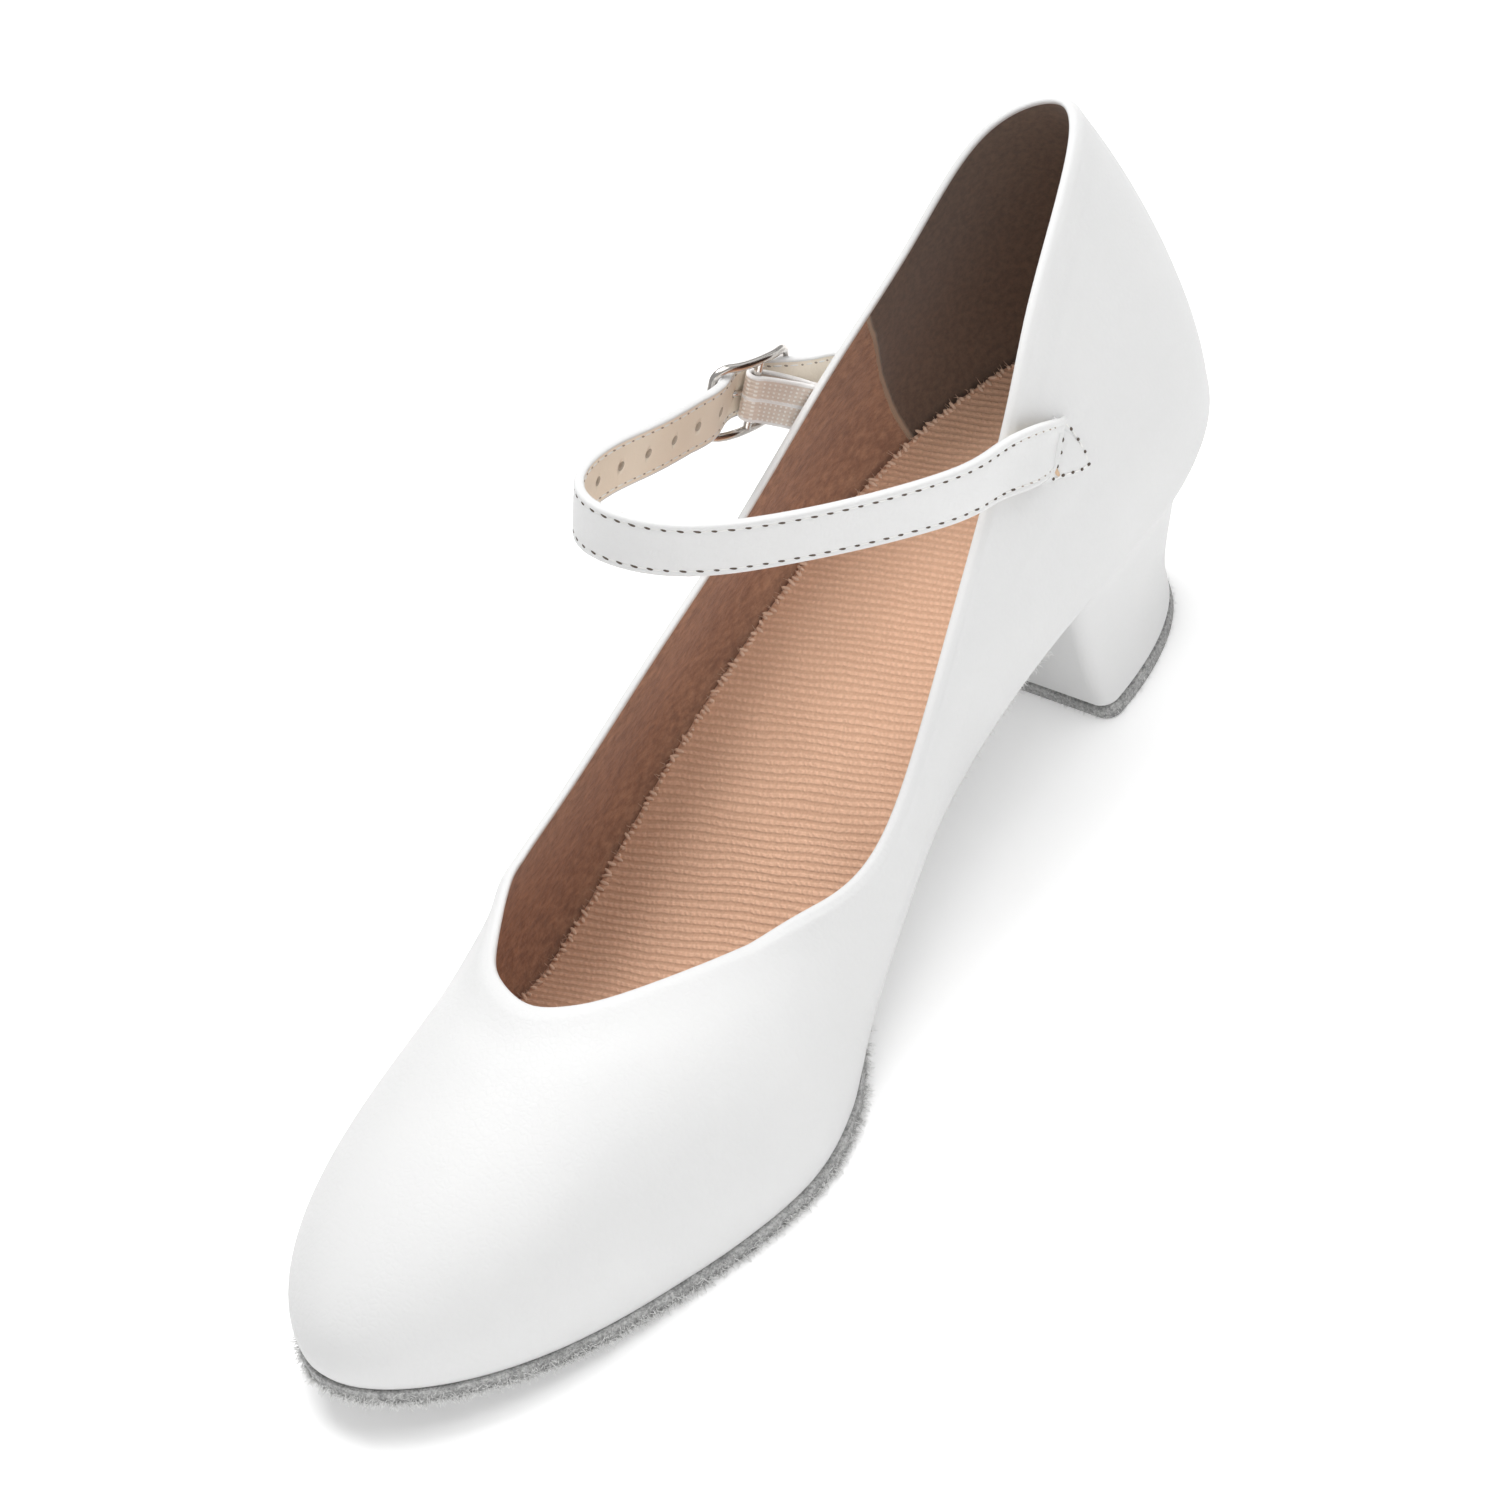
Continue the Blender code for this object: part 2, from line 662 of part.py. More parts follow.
def make_buckle(material):
    """A frame with rounded corners and bowed sides, with its bar across the middle."""
    middle, run, edge, out = buckle_place()
    half_width = strap_width / 2 + 2 * gap + buckle_wire / 2
    corner = 0.0026
    outline = []
    for across_sign, run_sign, start in ((1, 1, 0), (1, -1, 90), (-1, -1, 180), (-1, 1, 270)):
        for turn in np.radians(start + np.linspace(0, 90, 5)):
            outline.append(
                (
                    run_sign * (buckle_reach - corner) + corner * math.cos(turn),
                    across_sign * (half_width - corner) + corner * math.sin(turn),
                )
            )
        if start in (0, 180):
            for share in (0.25, 0.5, 0.75):
                outline.append(
                    (run_sign * (1 - 2 * share) * (buckle_reach - corner), across_sign * half_width)
                )
    outline = np.array(outline)
    reach_share = np.clip(outline[:, 0] / buckle_reach, -1, 1)
    bow_shares, bow_levels = np.array(frame_bow).T
    height = smooth(bow_shares, bow_levels, reach_share)[:, 0]
    path = middle + np.outer(outline[:, 0], run) + np.outer(outline[:, 1], edge)
    path += np.outer(height, out)
    buckle = make_object("buckle", *tube_mesh(path, buckle_wire / 2, closed=True), material)
    bar = middle + out * bar_out
    ends = np.array([bar - edge * half_width, bar + edge * half_width])
    bar_object = make_object("buckle_bar", *peg_mesh(ends, buckle_wire / 2 * 0.97, 10), material)
    boolean_with(buckle, bar_object, "bar", "UNION")
    return buckle


def prong_path():
    """A hook round the bar, a rise through the strap and a straight run to the end bar."""
    middle, run, edge, out = buckle_place()
    eye = buckle_wire / 2 + gap + prong_wire / 2
    hook = [
        (eye * math.cos(turn), bar_out + eye * math.sin(turn))
        for turn in np.radians(np.linspace(-150, 80, 10))
    ]
    over_strap = strap_over_bar + strap_thickness / 2 + gap + prong_wire / 2
    over_end = front_out + buckle_wire / 2 + gap + prong_wire / 2
    shank = [
        (prong_crossing * 0.45, bar_out + eye + 0.0004),
        (prong_crossing, strap_over_bar - 0.0004),
        (prong_crossing * 1.55, over_strap - 0.0003),
        (prong_crossing * 2.3, over_strap),
        (-buckle_reach, over_end),
        (-buckle_reach - buckle_wire * 0.9, over_end - 0.0003),
    ]
    path = np.array(hook + shank)
    return middle + np.outer(path[:, 0], run) + np.outer(path[:, 1], out)


def make_prong(material):
    """The prong, of round wire."""
    return make_object("prong", *tube_mesh(prong_path(), prong_wire / 2), material)


def main():
    """Clears the scene and builds each sub-part."""
    for item in list(bpy.data.objects):
        bpy.data.objects.remove(item, do_unlink=True)
    leather = make_material("white_leather", (0.86, 0.86, 0.85), 0.42)
    strap_leather = make_material("strap_leather", (0.80, 0.79, 0.77), 0.42)
    make_upper(leather)
    make_insole(make_material("ribbed_sock", (0.52, 0.31, 0.21), 0.9))
    make_outsole(make_material("sole_suede", (0.36, 0.36, 0.35), 0.95))
    make_heel(make_material("heel_leather", (0.84, 0.84, 0.83), 0.42))
    make_heel_tip(make_material("tip_suede", (0.34, 0.34, 0.33), 0.95))
    make_strap(strap_leather)
    make_elastic(make_material("elastic_web", (0.70, 0.63, 0.56), 0.8))
    make_buckle(make_material("nickel", (0.72, 0.70, 0.67), 0.25, 1.0))
    make_prong(make_material("prong_nickel", (0.72, 0.70, 0.67), 0.25, 1.0))


main()
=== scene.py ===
import bpy
import bmesh
import math
import numpy as np
from mathutils import Matrix, Vector


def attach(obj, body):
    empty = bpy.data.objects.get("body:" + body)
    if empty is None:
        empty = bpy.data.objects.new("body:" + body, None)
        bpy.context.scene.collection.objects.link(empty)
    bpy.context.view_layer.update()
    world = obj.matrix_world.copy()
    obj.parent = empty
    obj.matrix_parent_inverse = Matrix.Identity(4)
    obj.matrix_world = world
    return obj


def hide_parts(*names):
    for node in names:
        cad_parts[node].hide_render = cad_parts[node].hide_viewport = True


# Right character shoe: white leather pump, ribbed sock, suede sole, instep strap and buckle.
# Shoe points are (across, along, height): inner side, forward from the heel's back, up.

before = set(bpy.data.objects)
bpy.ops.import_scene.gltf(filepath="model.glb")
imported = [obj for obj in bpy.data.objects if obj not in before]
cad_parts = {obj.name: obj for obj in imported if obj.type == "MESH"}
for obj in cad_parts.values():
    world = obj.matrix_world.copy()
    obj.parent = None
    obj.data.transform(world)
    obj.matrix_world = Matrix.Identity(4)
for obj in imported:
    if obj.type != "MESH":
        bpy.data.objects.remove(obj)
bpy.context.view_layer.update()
rng = np.random.default_rng(38)

shoe = {
    "length": 0.250,
    "ballWidth": 0.077,
    "heelRise": 0.035,
    "collarHeight": 0.060,
    "wall": 0.0018,
    "sole": 0.003,
    "gap": 0.0003,
    "heelCentre": 0.03725,   # the frame's origin, measured from the heel's back
}

# share of length, share of heel rise
bedRows = [
    (0.00, 1.000), (0.10, 0.958), (0.20, 0.905), (0.30, 0.775), (0.40, 0.545), (0.50, 0.230),
    (0.60, 0.000), (0.68, -0.012), (0.75, 0.000), (0.85, 0.055), (1.00, 0.250),
]

# Sections round the foot, back of the heel, inner side, toe, outer side:
# footAlong, footAcross, topAlong, topAcross, topHeight, lowOut, lowUp, topOut, topDown
upperRows = [
    (0.001, 0.000, 0.009, 0.000, 0.977, 0.073, 0.299, 0.079, 0.322),
    (0.034, 0.228, 0.060, 0.152, 0.973, 0.062, 0.292, 0.057, 0.325),
    (0.118, 0.350, 0.159, 0.265, 0.871, 0.053, 0.263, 0.039, 0.266),
    (0.227, 0.348, 0.234, 0.319, 0.701, 0.057, 0.213, 0.027, 0.203),
    (0.367, 0.315, 0.343, 0.358, 0.474, 0.069, 0.137, 0.033, 0.178),
    (0.505, 0.356, 0.476, 0.417, 0.383, 0.084, 0.141, 0.039, 0.186),
    (0.606, 0.489, 0.555, 0.382, 0.502, 0.053, 0.213, 0.080, 0.171),
    (0.686, 0.539, 0.606, 0.323, 0.574, 0.038, 0.252, 0.182, 0.134),
    (0.783, 0.464, 0.653, 0.249, 0.611, 0.038, 0.268, 0.311, 0.100),
    (0.873, 0.364, 0.693, 0.172, 0.639, 0.039, 0.267, 0.442, 0.099),
    (0.943, 0.220, 0.715, 0.101, 0.654, 0.039, 0.251, 0.520, 0.115),
    (0.979, 0.028, 0.724, 0.011, 0.658, 0.042, 0.253, 0.548, 0.133),
    (0.960, -0.170, 0.712, -0.104, 0.649, 0.045, 0.259, 0.487, 0.150),
    (0.887, -0.338, 0.692, -0.186, 0.629, 0.045, 0.256, 0.316, 0.183),
    (0.792, -0.428, 0.661, -0.262, 0.608, 0.036, 0.236, 0.151, 0.206),
    (0.700, -0.463, 0.628, -0.329, 0.590, 0.040, 0.219, 0.085, 0.202),
    (0.609, -0.460, 0.574, -0.374, 0.562, 0.054, 0.206, 0.045, 0.185),
    (0.495, -0.448, 0.450, -0.368, 0.491, 0.065, 0.200, 0.026, 0.166),
    (0.367, -0.411, 0.329, -0.346, 0.460, 0.052, 0.202, 0.028, 0.164),
    (0.238, -0.380, 0.213, -0.314, 0.563, 0.052, 0.234, 0.026, 0.200),
    (0.132, -0.338, 0.121, -0.261, 0.719, 0.052, 0.267, 0.039, 0.267),
    (0.041, -0.213, 0.046, -0.168, 0.922, 0.065, 0.300, 0.060, 0.331),
]
toeRow = 11


# curves and surfaces of the last

def curveThrough(knots, values, at):
    knots = np.asarray(knots, float)
    values = np.asarray(values, float).reshape(len(knots), -1)
    steps = np.diff(knots)
    last = len(knots) - 1
    system = np.eye(last + 1)
    bends = np.zeros_like(values)
    slopes = np.diff(values, axis=0) / steps[:, None]
    for i in range(1, last):
        system[i, i - 1:i + 2] = steps[i - 1], 2 * (steps[i - 1] + steps[i]), steps[i]
        bends[i] = 6 * (slopes[i] - slopes[i - 1])
    bends = np.linalg.solve(system, bends)
    at = np.clip(np.atleast_1d(np.asarray(at, float)), knots[0], knots[-1])
    k = np.clip(np.searchsorted(knots, at, side="right") - 1, 0, last - 1)
    step = steps[k][:, None]
    ahead = (at - knots[k])[:, None] / step
    behind = 1 - ahead
    curve = values[k] * behind + values[k + 1] * ahead
    return curve + step ** 2 / 6 * ((behind ** 3 - behind) * bends[k] + (ahead ** 3 - ahead) * bends[k + 1])


def ringThrough(values, at):
    values = np.asarray(values, float)
    count = len(values)
    rows = np.arange(count)
    system = np.eye(count) * 4
    system[rows, (rows + 1) % count] = 1
    system[rows, (rows - 1) % count] = 1
    bends = np.linalg.solve(system, 6 * (np.roll(values, -1, axis=0) - 2 * values + np.roll(values, 1, axis=0)))
    k = np.floor(at).astype(int)
    ahead = (at - k)[:, None]
    behind = 1 - ahead
    this, after = k % count, (k + 1) % count
    curve = values[this] * behind + values[after] * ahead
    return curve + ((behind ** 3 - behind) * bends[this] + (ahead ** 3 - ahead) * bends[after]) / 6


def unit(v):
    v = np.asarray(v, float)
    return v / (np.linalg.norm(v, axis=-1, keepdims=True) + 1e-12)


def facing(v, towards):   # the direction or its opposite, whichever looks that way
    return v if np.dot(v, towards) > 0 else -v


def travelled(line):   # distance from the first point, along the line
    return np.concatenate([[0], np.cumsum(np.linalg.norm(np.diff(line, axis=0), axis=1))])


def readAt(at, travel, line):   # the line's columns at given distances
    return np.column_stack([np.interp(at, travel, column) for column in np.transpose(line)])


def ease(value, low, high):
    share = np.clip((value - low) / (high - low), 0, 1)
    return share * share * (3 - 2 * share)


def bell(value, width=1.0):
    return np.exp(-(value / width) ** 2)


def bedHeight(along):
    shares, rise = np.array(bedRows).T
    curve = curveThrough(shares, rise, np.atleast_1d(along) / shoe["length"])[:, 0]
    return shoe["sole"] + shoe["heelRise"] * np.maximum(curve, 0)


def footRing(places):
    rows = ringThrough(upperRows, places)
    edge = np.stack([rows[:, 1] * shoe["ballWidth"], rows[:, 0] * shoe["length"]], 1)
    before, after = ringThrough(upperRows, places - 0.01), ringThrough(upperRows, places + 0.01)
    runAcross = (after[:, 1] - before[:, 1]) * shoe["ballWidth"]
    runAlong = (after[:, 0] - before[:, 0]) * shoe["length"]
    return edge, unit(np.stack([runAlong, -runAcross], 1))


def wallGrid(places, levels):
    rows = ringThrough(upperRows, places)
    wide, tall = shoe["ballWidth"], shoe["collarHeight"]
    edge, outward = footRing(places)
    foot = np.column_stack([edge, bedHeight(edge[:, 1])])
    topAlong = rows[:, 2] * shoe["length"]
    top = np.column_stack([rows[:, 3] * wide, topAlong, bedHeight(topAlong) + rows[:, 4] * tall])
    falling = unit(outward * 0.16 * wide + (foot - top)[:, :2])
    low = foot + np.column_stack([outward * rows[:, 5:6] * wide, rows[:, 6] * tall])
    high = top + np.column_stack([falling * rows[:, 7:8] * wide, -rows[:, 8] * tall])
    t = np.asarray(levels)[None, :, None]
    foot, low, high, top = (p[:, None] for p in (foot, low, high, top))
    return (1 - t) ** 3 * foot + 3 * (1 - t) ** 2 * t * low + 3 * (1 - t) * t ** 2 * high + t ** 3 * top


def gridNormals(grid, ring=True):
    runRound = np.roll(grid, -1, axis=0) - np.roll(grid, 1, axis=0) if ring else np.gradient(grid, axis=0)
    return unit(np.cross(runRound, np.gradient(grid, axis=1)))


def innerFace(outer, outward):   # the lining's side of the wall, level with the outer side at the foot
    inner = outer - gridNormals(outer) * shoe["wall"]
    inner[:, 0, :2] = outer[:, 0, :2] - outward * shoe["wall"]
    inner[:, 0, 2] = outer[:, 0, 2]
    return inner


def wallPoint(place, level):   # a point of the outer face, its outward direction and its up direction
    patch = wallGrid(np.array([place - 0.02, place, place + 0.02]), np.array([level - 0.01, level, level + 0.01]))
    up = unit(patch[1, 2] - patch[1, 0])
    return patch[1, 1], unit(np.cross(patch[2, 1] - patch[0, 1], patch[1, 2] - patch[1, 0])), up


# mesh helpers

def toWorld(points):
    points = np.array(points, float).reshape(-1, 3)
    points[:, 1] = shoe["heelCentre"] - points[:, 1]
    return points


def turnToWorld(directions):
    return np.array(directions, float).reshape(-1, 3) * [1, -1, 1]


def addObject(name, data):
    item = bpy.data.objects.new(name, data)
    bpy.context.scene.collection.objects.link(item)
    return item


def settle(piece):   # turns what the modifiers give into a plain mesh
    depsgraph = bpy.context.evaluated_depsgraph_get()
    solid = bpy.data.meshes.new_from_object(piece.evaluated_get(depsgraph))
    piece.modifiers.clear()
    piece.data = solid


def makePiece(name, points, faces, materials, slots=None, uv=None, sharp=50):
    mesh = bpy.data.meshes.new(name)
    mesh.from_pydata([tuple(p) for p in toWorld(points)], [], faces)
    for material in materials:
        mesh.materials.append(material)
    if slots is not None:
        mesh.polygons.foreach_set("material_index", np.asarray(slots, dtype=np.int32))
    if uv is not None:
        layer = mesh.uv_layers.new(name="surface")
        corners = np.zeros(len(mesh.loops), dtype=np.int32)
        mesh.loops.foreach_get("vertex_index", corners)
        layer.data.foreach_set("uv", np.asarray(uv, float)[corners].ravel())
    work = bmesh.new()
    work.from_mesh(mesh)
    bmesh.ops.recalc_face_normals(work, faces=work.faces)
    work.to_mesh(mesh)
    work.free()
    mesh.shade_smooth()
    mesh.set_sharp_from_angle(angle=math.radians(sharp))
    return addObject(name, mesh)


def bandFaces(first, second, count, closed=True):
    return [(first + i, first + (i + 1) % count, second + (i + 1) % count, second + i)
            for i in range(count if closed else count - 1)]


def sleeveFaces(rings, count):   # rings joined one to the next, closed at both ends
    faces = []
    for i in range(rings - 1):
        faces += bandFaces(i * count, (i + 1) * count, count)
    return faces + [tuple(range(count)), tuple(range((rings - 1) * count, rings * count))]


def zipFaces(left, right, along):   # fills the span between two edges with triangles
    faces, i, j = [], 0, 0
    while i < len(left) - 1 or j < len(right) - 1:
        if i < len(left) - 1 and (j == len(right) - 1 or along[left[i + 1]] <= along[right[j + 1]]):
            faces.append((left[i], left[i + 1], right[j]))
            i += 1
        else:
            faces.append((left[i], right[j + 1], right[j]))
            j += 1
    return faces


def stackFaces(rings, front):   # a pile of rings with a filled bottom and top
    count = len(rings[0])
    along = np.vstack(rings)[:, 1]
    faces = []
    for level in range(len(rings) - 1):
        faces += bandFaces(level * count, (level + 1) * count, count)
    for start in (0, (len(rings) - 1) * count):
        left = [start + i for i in range(front + 1)]
        faces += zipFaces(left, [start + i for i in range(count - 1, front, -1)], along)
    return faces


def makePile(name, rings, front, material, sharp):
    return makePiece(name, np.vstack(rings), stackFaces(rings, front), [material], sharp=sharp)


def finish(piece, slot, *nodes):
    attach(piece, "root")
    if nodes:
        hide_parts(*nodes)
    return piece


class Board:   # short way to add and join nodes
    def __init__(self, tree):
        self.tree = tree

    def give(self, socket, value):   # a plain value is typed in, an output is joined
        if isinstance(value, bpy.types.NodeSocket):
            self.tree.links.new(value, socket)
        elif isinstance(value, tuple) and socket.type == "RGBA":
            socket.default_value = (*value[:3], 1)
        else:
            socket.default_value = value

    def add(self, kind, sockets=None, **settings):
        node = self.tree.nodes.new(kind)
        for key, value in settings.items():
            setattr(node, key, value)
        for key, value in (sockets or {}).items():
            self.give(node.inputs[key], value)
        return node

    def coords(self, scale=(1, 1, 1), turn=(0, 0, 0), source="Object"):
        place = self.add("ShaderNodeTexCoord").outputs[source]
        return self.add("ShaderNodeMapping", {"Vector": place, "Scale": scale, "Rotation": turn}).outputs["Vector"]

    def split(self, vector):
        return self.add("ShaderNodeSeparateXYZ", {0: vector}).outputs

    def noise(self, vector, scale, detail=3.0, rough=0.55):
        given = {"Vector": vector, "Scale": scale, "Detail": detail, "Roughness": rough}
        return self.add("ShaderNodeTexNoise", given).outputs["Fac"]

    def math(self, operation, a, b=0.5):
        return self.add("ShaderNodeMath", {0: a, 1: b}, operation=operation).outputs[0]

    def times(self, a, b):
        return self.math("MULTIPLY", a, b)

    def total(self, *parts):   # sum of values, each alone or with its weight
        parts = [self.times(*part) if isinstance(part, tuple) else part for part in parts]
        whole = parts[0]
        for part in parts[1:]:
            whole = self.math("ADD", whole, part)
        return whole

    def wave(self, value, pitch, shift=None):
        turns = self.times(value, 2 * math.pi / pitch)
        return self.math("SINE", turns if shift is None else self.total(turns, shift))

    def ramp(self, value, low, high, lowOut=0.0, highOut=1.0, smooth=True):
        given = {"Value": value, "From Min": low, "From Max": high, "To Min": lowOut, "To Max": highOut}
        kind = "SMOOTHSTEP" if smooth else "LINEAR"
        return self.add("ShaderNodeMapRange", given, interpolation_type=kind).outputs["Result"]

    def mix(self, share, a, b):
        return self.add("ShaderNodeMix", {0: share, 6: a, 7: b}, data_type="RGBA").outputs[2]

    def group(self, tree, **values):
        sockets = {key.replace("_", " "): value for key, value in values.items()}
        return self.add("ShaderNodeGroup", sockets, node_tree=tree).outputs

    def paint(self, share, a, b):
        self.give(self.shader["Base Color"], self.mix(share, a, b))

    def bump(self, height, strength, distance):
        sockets = {"Strength": strength, "Distance": distance, "Height": height}
        self.give(self.shader["Normal"], self.add("ShaderNodeBump", sockets).outputs["Normal"])


# geometry nodes: one small shape on every point, turned by the point's own directions

def scatterTree(name, shape):
    tree = bpy.data.node_groups.new(name, "GeometryNodeTree")
    face, board = tree.interface, Board(tree)
    face.new_socket("Geometry", in_out="INPUT", socket_type="NodeSocketGeometry")
    for label, value in (("Length", 0.002), ("Width", 0.0004), ("Height", 0.0004), ("Length Spread", 0.1)):
        face.new_socket(label, in_out="INPUT", socket_type="NodeSocketFloat").default_value = value
    face.new_socket("Seed", in_out="INPUT", socket_type="NodeSocketInt").default_value = 7
    face.new_socket("Material", in_out="INPUT", socket_type="NodeSocketMaterial")
    face.new_socket("Geometry", in_out="OUTPUT", socket_type="NodeSocketGeometry")
    given = board.add("NodeGroupInput").outputs
    if shape == "hair":
        sizes = {"Vertices": 4, "Radius Top": 0.15, "Radius Bottom": 0.5, "Depth": 1.0}
        form = board.add("GeometryNodeMeshCone", sizes).outputs["Mesh"]
        form = board.add("GeometryNodeTransform", {"Geometry": form, "Rotation": (0, math.pi / 2, 0)}).outputs[0]
    else:
        form = board.add("GeometryNodeMeshUVSphere", {"Segments": 10, "Rings": 6, "Radius": 0.5}).outputs[0]
    run, out = (board.add("GeometryNodeInputNamedAttribute", {"Name": label}, data_type="FLOAT_VECTOR").outputs[0]
                for label in ("run", "out"))
    axes = {"Primary Axis": run, "Secondary Axis": out}
    turn = board.add("FunctionNodeAxesToRotation", axes, primary_axis="X", secondary_axis="Z").outputs["Rotation"]
    low, high = (board.math(kind, 1.0, given["Length Spread"]) for kind in ("SUBTRACT", "ADD"))
    limits = {2: low, 3: high, "Seed": given["Seed"]}
    share = board.add("FunctionNodeRandomValue", limits, data_type="FLOAT").outputs[1]
    longer = board.times(given["Length"], share)
    size = board.add("ShaderNodeCombineXYZ", {0: longer, 1: given["Width"], 2: given["Height"]}).outputs[0]
    spots = {"Points": given["Geometry"], "Instance": form, "Rotation": turn, "Scale": size}
    placed = board.add("GeometryNodeInstanceOnPoints", spots).outputs[0]
    real = board.add("GeometryNodeRealizeInstances", {"Geometry": placed}).outputs[0]
    painted = board.add("GeometryNodeSetMaterial", {"Geometry": real, "Material": given["Material"]}).outputs[0]
    board.add("NodeGroupOutput", {"Geometry": painted})
    return tree


stitchTree = scatterTree("stitchOnPoint", "stitch")
hairTree = scatterTree("hairOnPoint", "hair")


def scatter(name, tree, points, run, out, material, slot, size, spread=0.1):   # size is length, width and height
    mesh = bpy.data.meshes.new(name)
    mesh.from_pydata([tuple(p) for p in toWorld(points)], [], [])
    for label, directions in (("run", run), ("out", out)):
        layer = mesh.attributes.new(label, "FLOAT_VECTOR", "POINT")
        layer.data.foreach_set("vector", unit(turnToWorld(directions)).ravel())
    piece = addObject(name, mesh)
    modifier = piece.modifiers.new("scatter", "NODES")
    modifier.node_group = tree
    inputs = dict(zip(("Length", "Width", "Height", "Length Spread", "Material"), (*size, spread, material)))
    for item in tree.interface.items_tree:
        if item.in_out == "INPUT" and item.name in inputs:
            modifier[item.identifier] = inputs[item.name]
    settle(piece)
    for vertex in piece.data.vertices:
        vertex.co.z = max(vertex.co.z, 0.00002)   # a fibre that reaches the floor lies on it
    piece.data.shade_smooth()
    return finish(piece, slot)


# shader node groups and materials

def shaderGroup(name, sockets, outputs):
    tree = bpy.data.node_groups.new(name, "ShaderNodeTree")
    for label, value in sockets.items():
        tree.interface.new_socket(label, in_out="INPUT", socket_type="NodeSocketFloat").default_value = value
    for label in outputs:
        tree.interface.new_socket(label, in_out="OUTPUT", socket_type="NodeSocketFloat")
    board = Board(tree)
    return board, board.add("NodeGroupInput").outputs


def leatherGrainGroup():   # fine cells of dressed leather with faint stretched lines
    board, given = shaderGroup("leatherGrain", {"Cell Scale": 900.0, "Line Scale": 260.0}, ["Height", "Cloud"])
    place = board.coords()
    sockets = {"Vector": place, "Scale": given["Cell Scale"]}
    cells = board.add("ShaderNodeTexVoronoi", sockets, feature="DISTANCE_TO_EDGE")
    pores = board.ramp(cells.outputs["Distance"], 0.0, 0.28)
    lines = board.noise(board.coords(scale=(1.0, 0.55, 1.9)), given["Line Scale"], 4.0, 0.5)
    height = board.total((pores, 0.45), (lines, 0.8))
    board.add("NodeGroupOutput", {"Height": height, "Cloud": board.noise(place, 28.0, 2.0)})
    return board.tree


def napGroup():   # short brushed fibres
    board, given = shaderGroup("brushedNap", {"Fibre Scale": 900.0}, ["Height", "Streak"])
    fine = board.noise(board.coords(scale=(1.0, 0.45, 0.5), turn=(0.5, 0.3, 0.4)), given["Fibre Scale"], 5.0, 0.7)
    streak = board.noise(board.coords(scale=(1.0, 0.35, 0.35), turn=(0.5, 0.3, 0.4)), 130.0, 4.0, 0.65)
    board.add("NodeGroupOutput", {"Height": fine, "Streak": streak})
    return board.tree


leatherGrain = leatherGrainGroup()
brushedNap = napGroup()


def newMaterial(name, roughness, **more):
    material = bpy.data.materials.new(name)
    material.use_nodes = True
    board = Board(material.node_tree)
    board.material, board.shader = material, material.node_tree.nodes["Principled BSDF"].inputs
    for label, value in {"Roughness": roughness, "Coat_Roughness": 0.4, **more}.items():
        board.shader[label.replace("_", " ")].default_value = value
    return board


leather = {"roughness": 0.52, "grain": 0.00008, "lineScale": 240.0, "cellScale": 800.0, "gloss": 0.32}


def leatherMaterial(name, light, shade, grain=1.0, roughness=leather["roughness"]):
    board = newMaterial(name, roughness, Coat_Weight=0.03, Specular_IOR_Level=leather["gloss"])
    group = board.group(leatherGrain, Cell_Scale=leather["cellScale"], Line_Scale=leather["lineScale"])
    board.paint(board.ramp(group["Cloud"], 0.35, 0.7), shade, light)
    gloss = board.ramp(group["Height"], 0.3, 0.9, roughness + 0.07, roughness - 0.05)
    board.give(board.shader["Roughness"], gloss)
    board.bump(group["Height"], 0.5, leather["grain"] * grain)
    return board.material


whiteLeather = leatherMaterial("whiteLeather", (0.765, 0.765, 0.762), (0.750, 0.751, 0.749))
heelLeather = leatherMaterial("heelLeather", (0.785, 0.785, 0.782), (0.765, 0.766, 0.764), 0.7)
strapLeather = leatherMaterial("strapLeather", (0.79, 0.79, 0.787), (0.76, 0.76, 0.757), 1.4, 0.45)
strapLining = leatherMaterial("strapLining", (0.90, 0.82, 0.70), (0.85, 0.75, 0.62), 0.9, 0.55)

lining = {
    "vampLight": (0.55, 0.305, 0.187), "vampDark": (0.255, 0.123, 0.075), "counterLight": (0.16, 0.10, 0.066),
    "counterDark": (0.105, 0.063, 0.041), "seam": (0.52, 0.38, 0.27), "seamAlong": 0.0405, "seamLean": 0.11,
    "seamHeight": 0.045,   # the seam is at seamAlong here
}


def liningMaterial():   # brushed vamp lining, smooth counter lining, and the folded seam between them
    board = newMaterial("shoeLining", 0.92, Sheen_Weight=0.25, Sheen_Roughness=0.6)
    place = board.split(board.coords())
    group = board.group(brushedNap, Fibre_Scale=1000.0)
    patches = board.noise(board.coords(scale=(1, 0.7, 1.5), turn=(0.6, 0.2, 0.3)), 640.0, 4.0, 0.7)
    tone = board.total((group["Streak"], 0.2), (group["Height"], 0.35), (patches, 0.45))
    vamp = board.mix(board.ramp(tone, 0.33, 0.69), lining["vampDark"], lining["vampLight"])
    speck = board.ramp(board.noise(board.coords(), 900.0, 4.0, 0.7), 0.3, 0.7)
    counter = board.mix(speck, lining["counterDark"], lining["counterLight"])
    along = board.math("SUBTRACT", shoe["heelCentre"], place["Y"])
    start = lining["seamAlong"] - lining["seamLean"] * lining["seamHeight"]
    line = board.total((place["Z"], lining["seamLean"]), start)
    beyond = board.math("SUBTRACT", board.total(along, (board.noise(board.coords(), 240.0, 2.0), 0.0006)), line)
    isVamp = board.ramp(beyond, -0.0001, 0.0002)
    fold = board.times(board.ramp(beyond, -0.0013, -0.0006), board.ramp(beyond, 0.0, 0.0003, 1.0, 0.0))
    board.paint(board.times(fold, 0.75), board.mix(isVamp, counter, vamp), lining["seam"])
    rough = board.times(group["Height"], board.total((isVamp, 0.8), 0.2))
    board.bump(board.total(rough, (fold, 0.9)), 0.8, 0.0004)
    return board.material


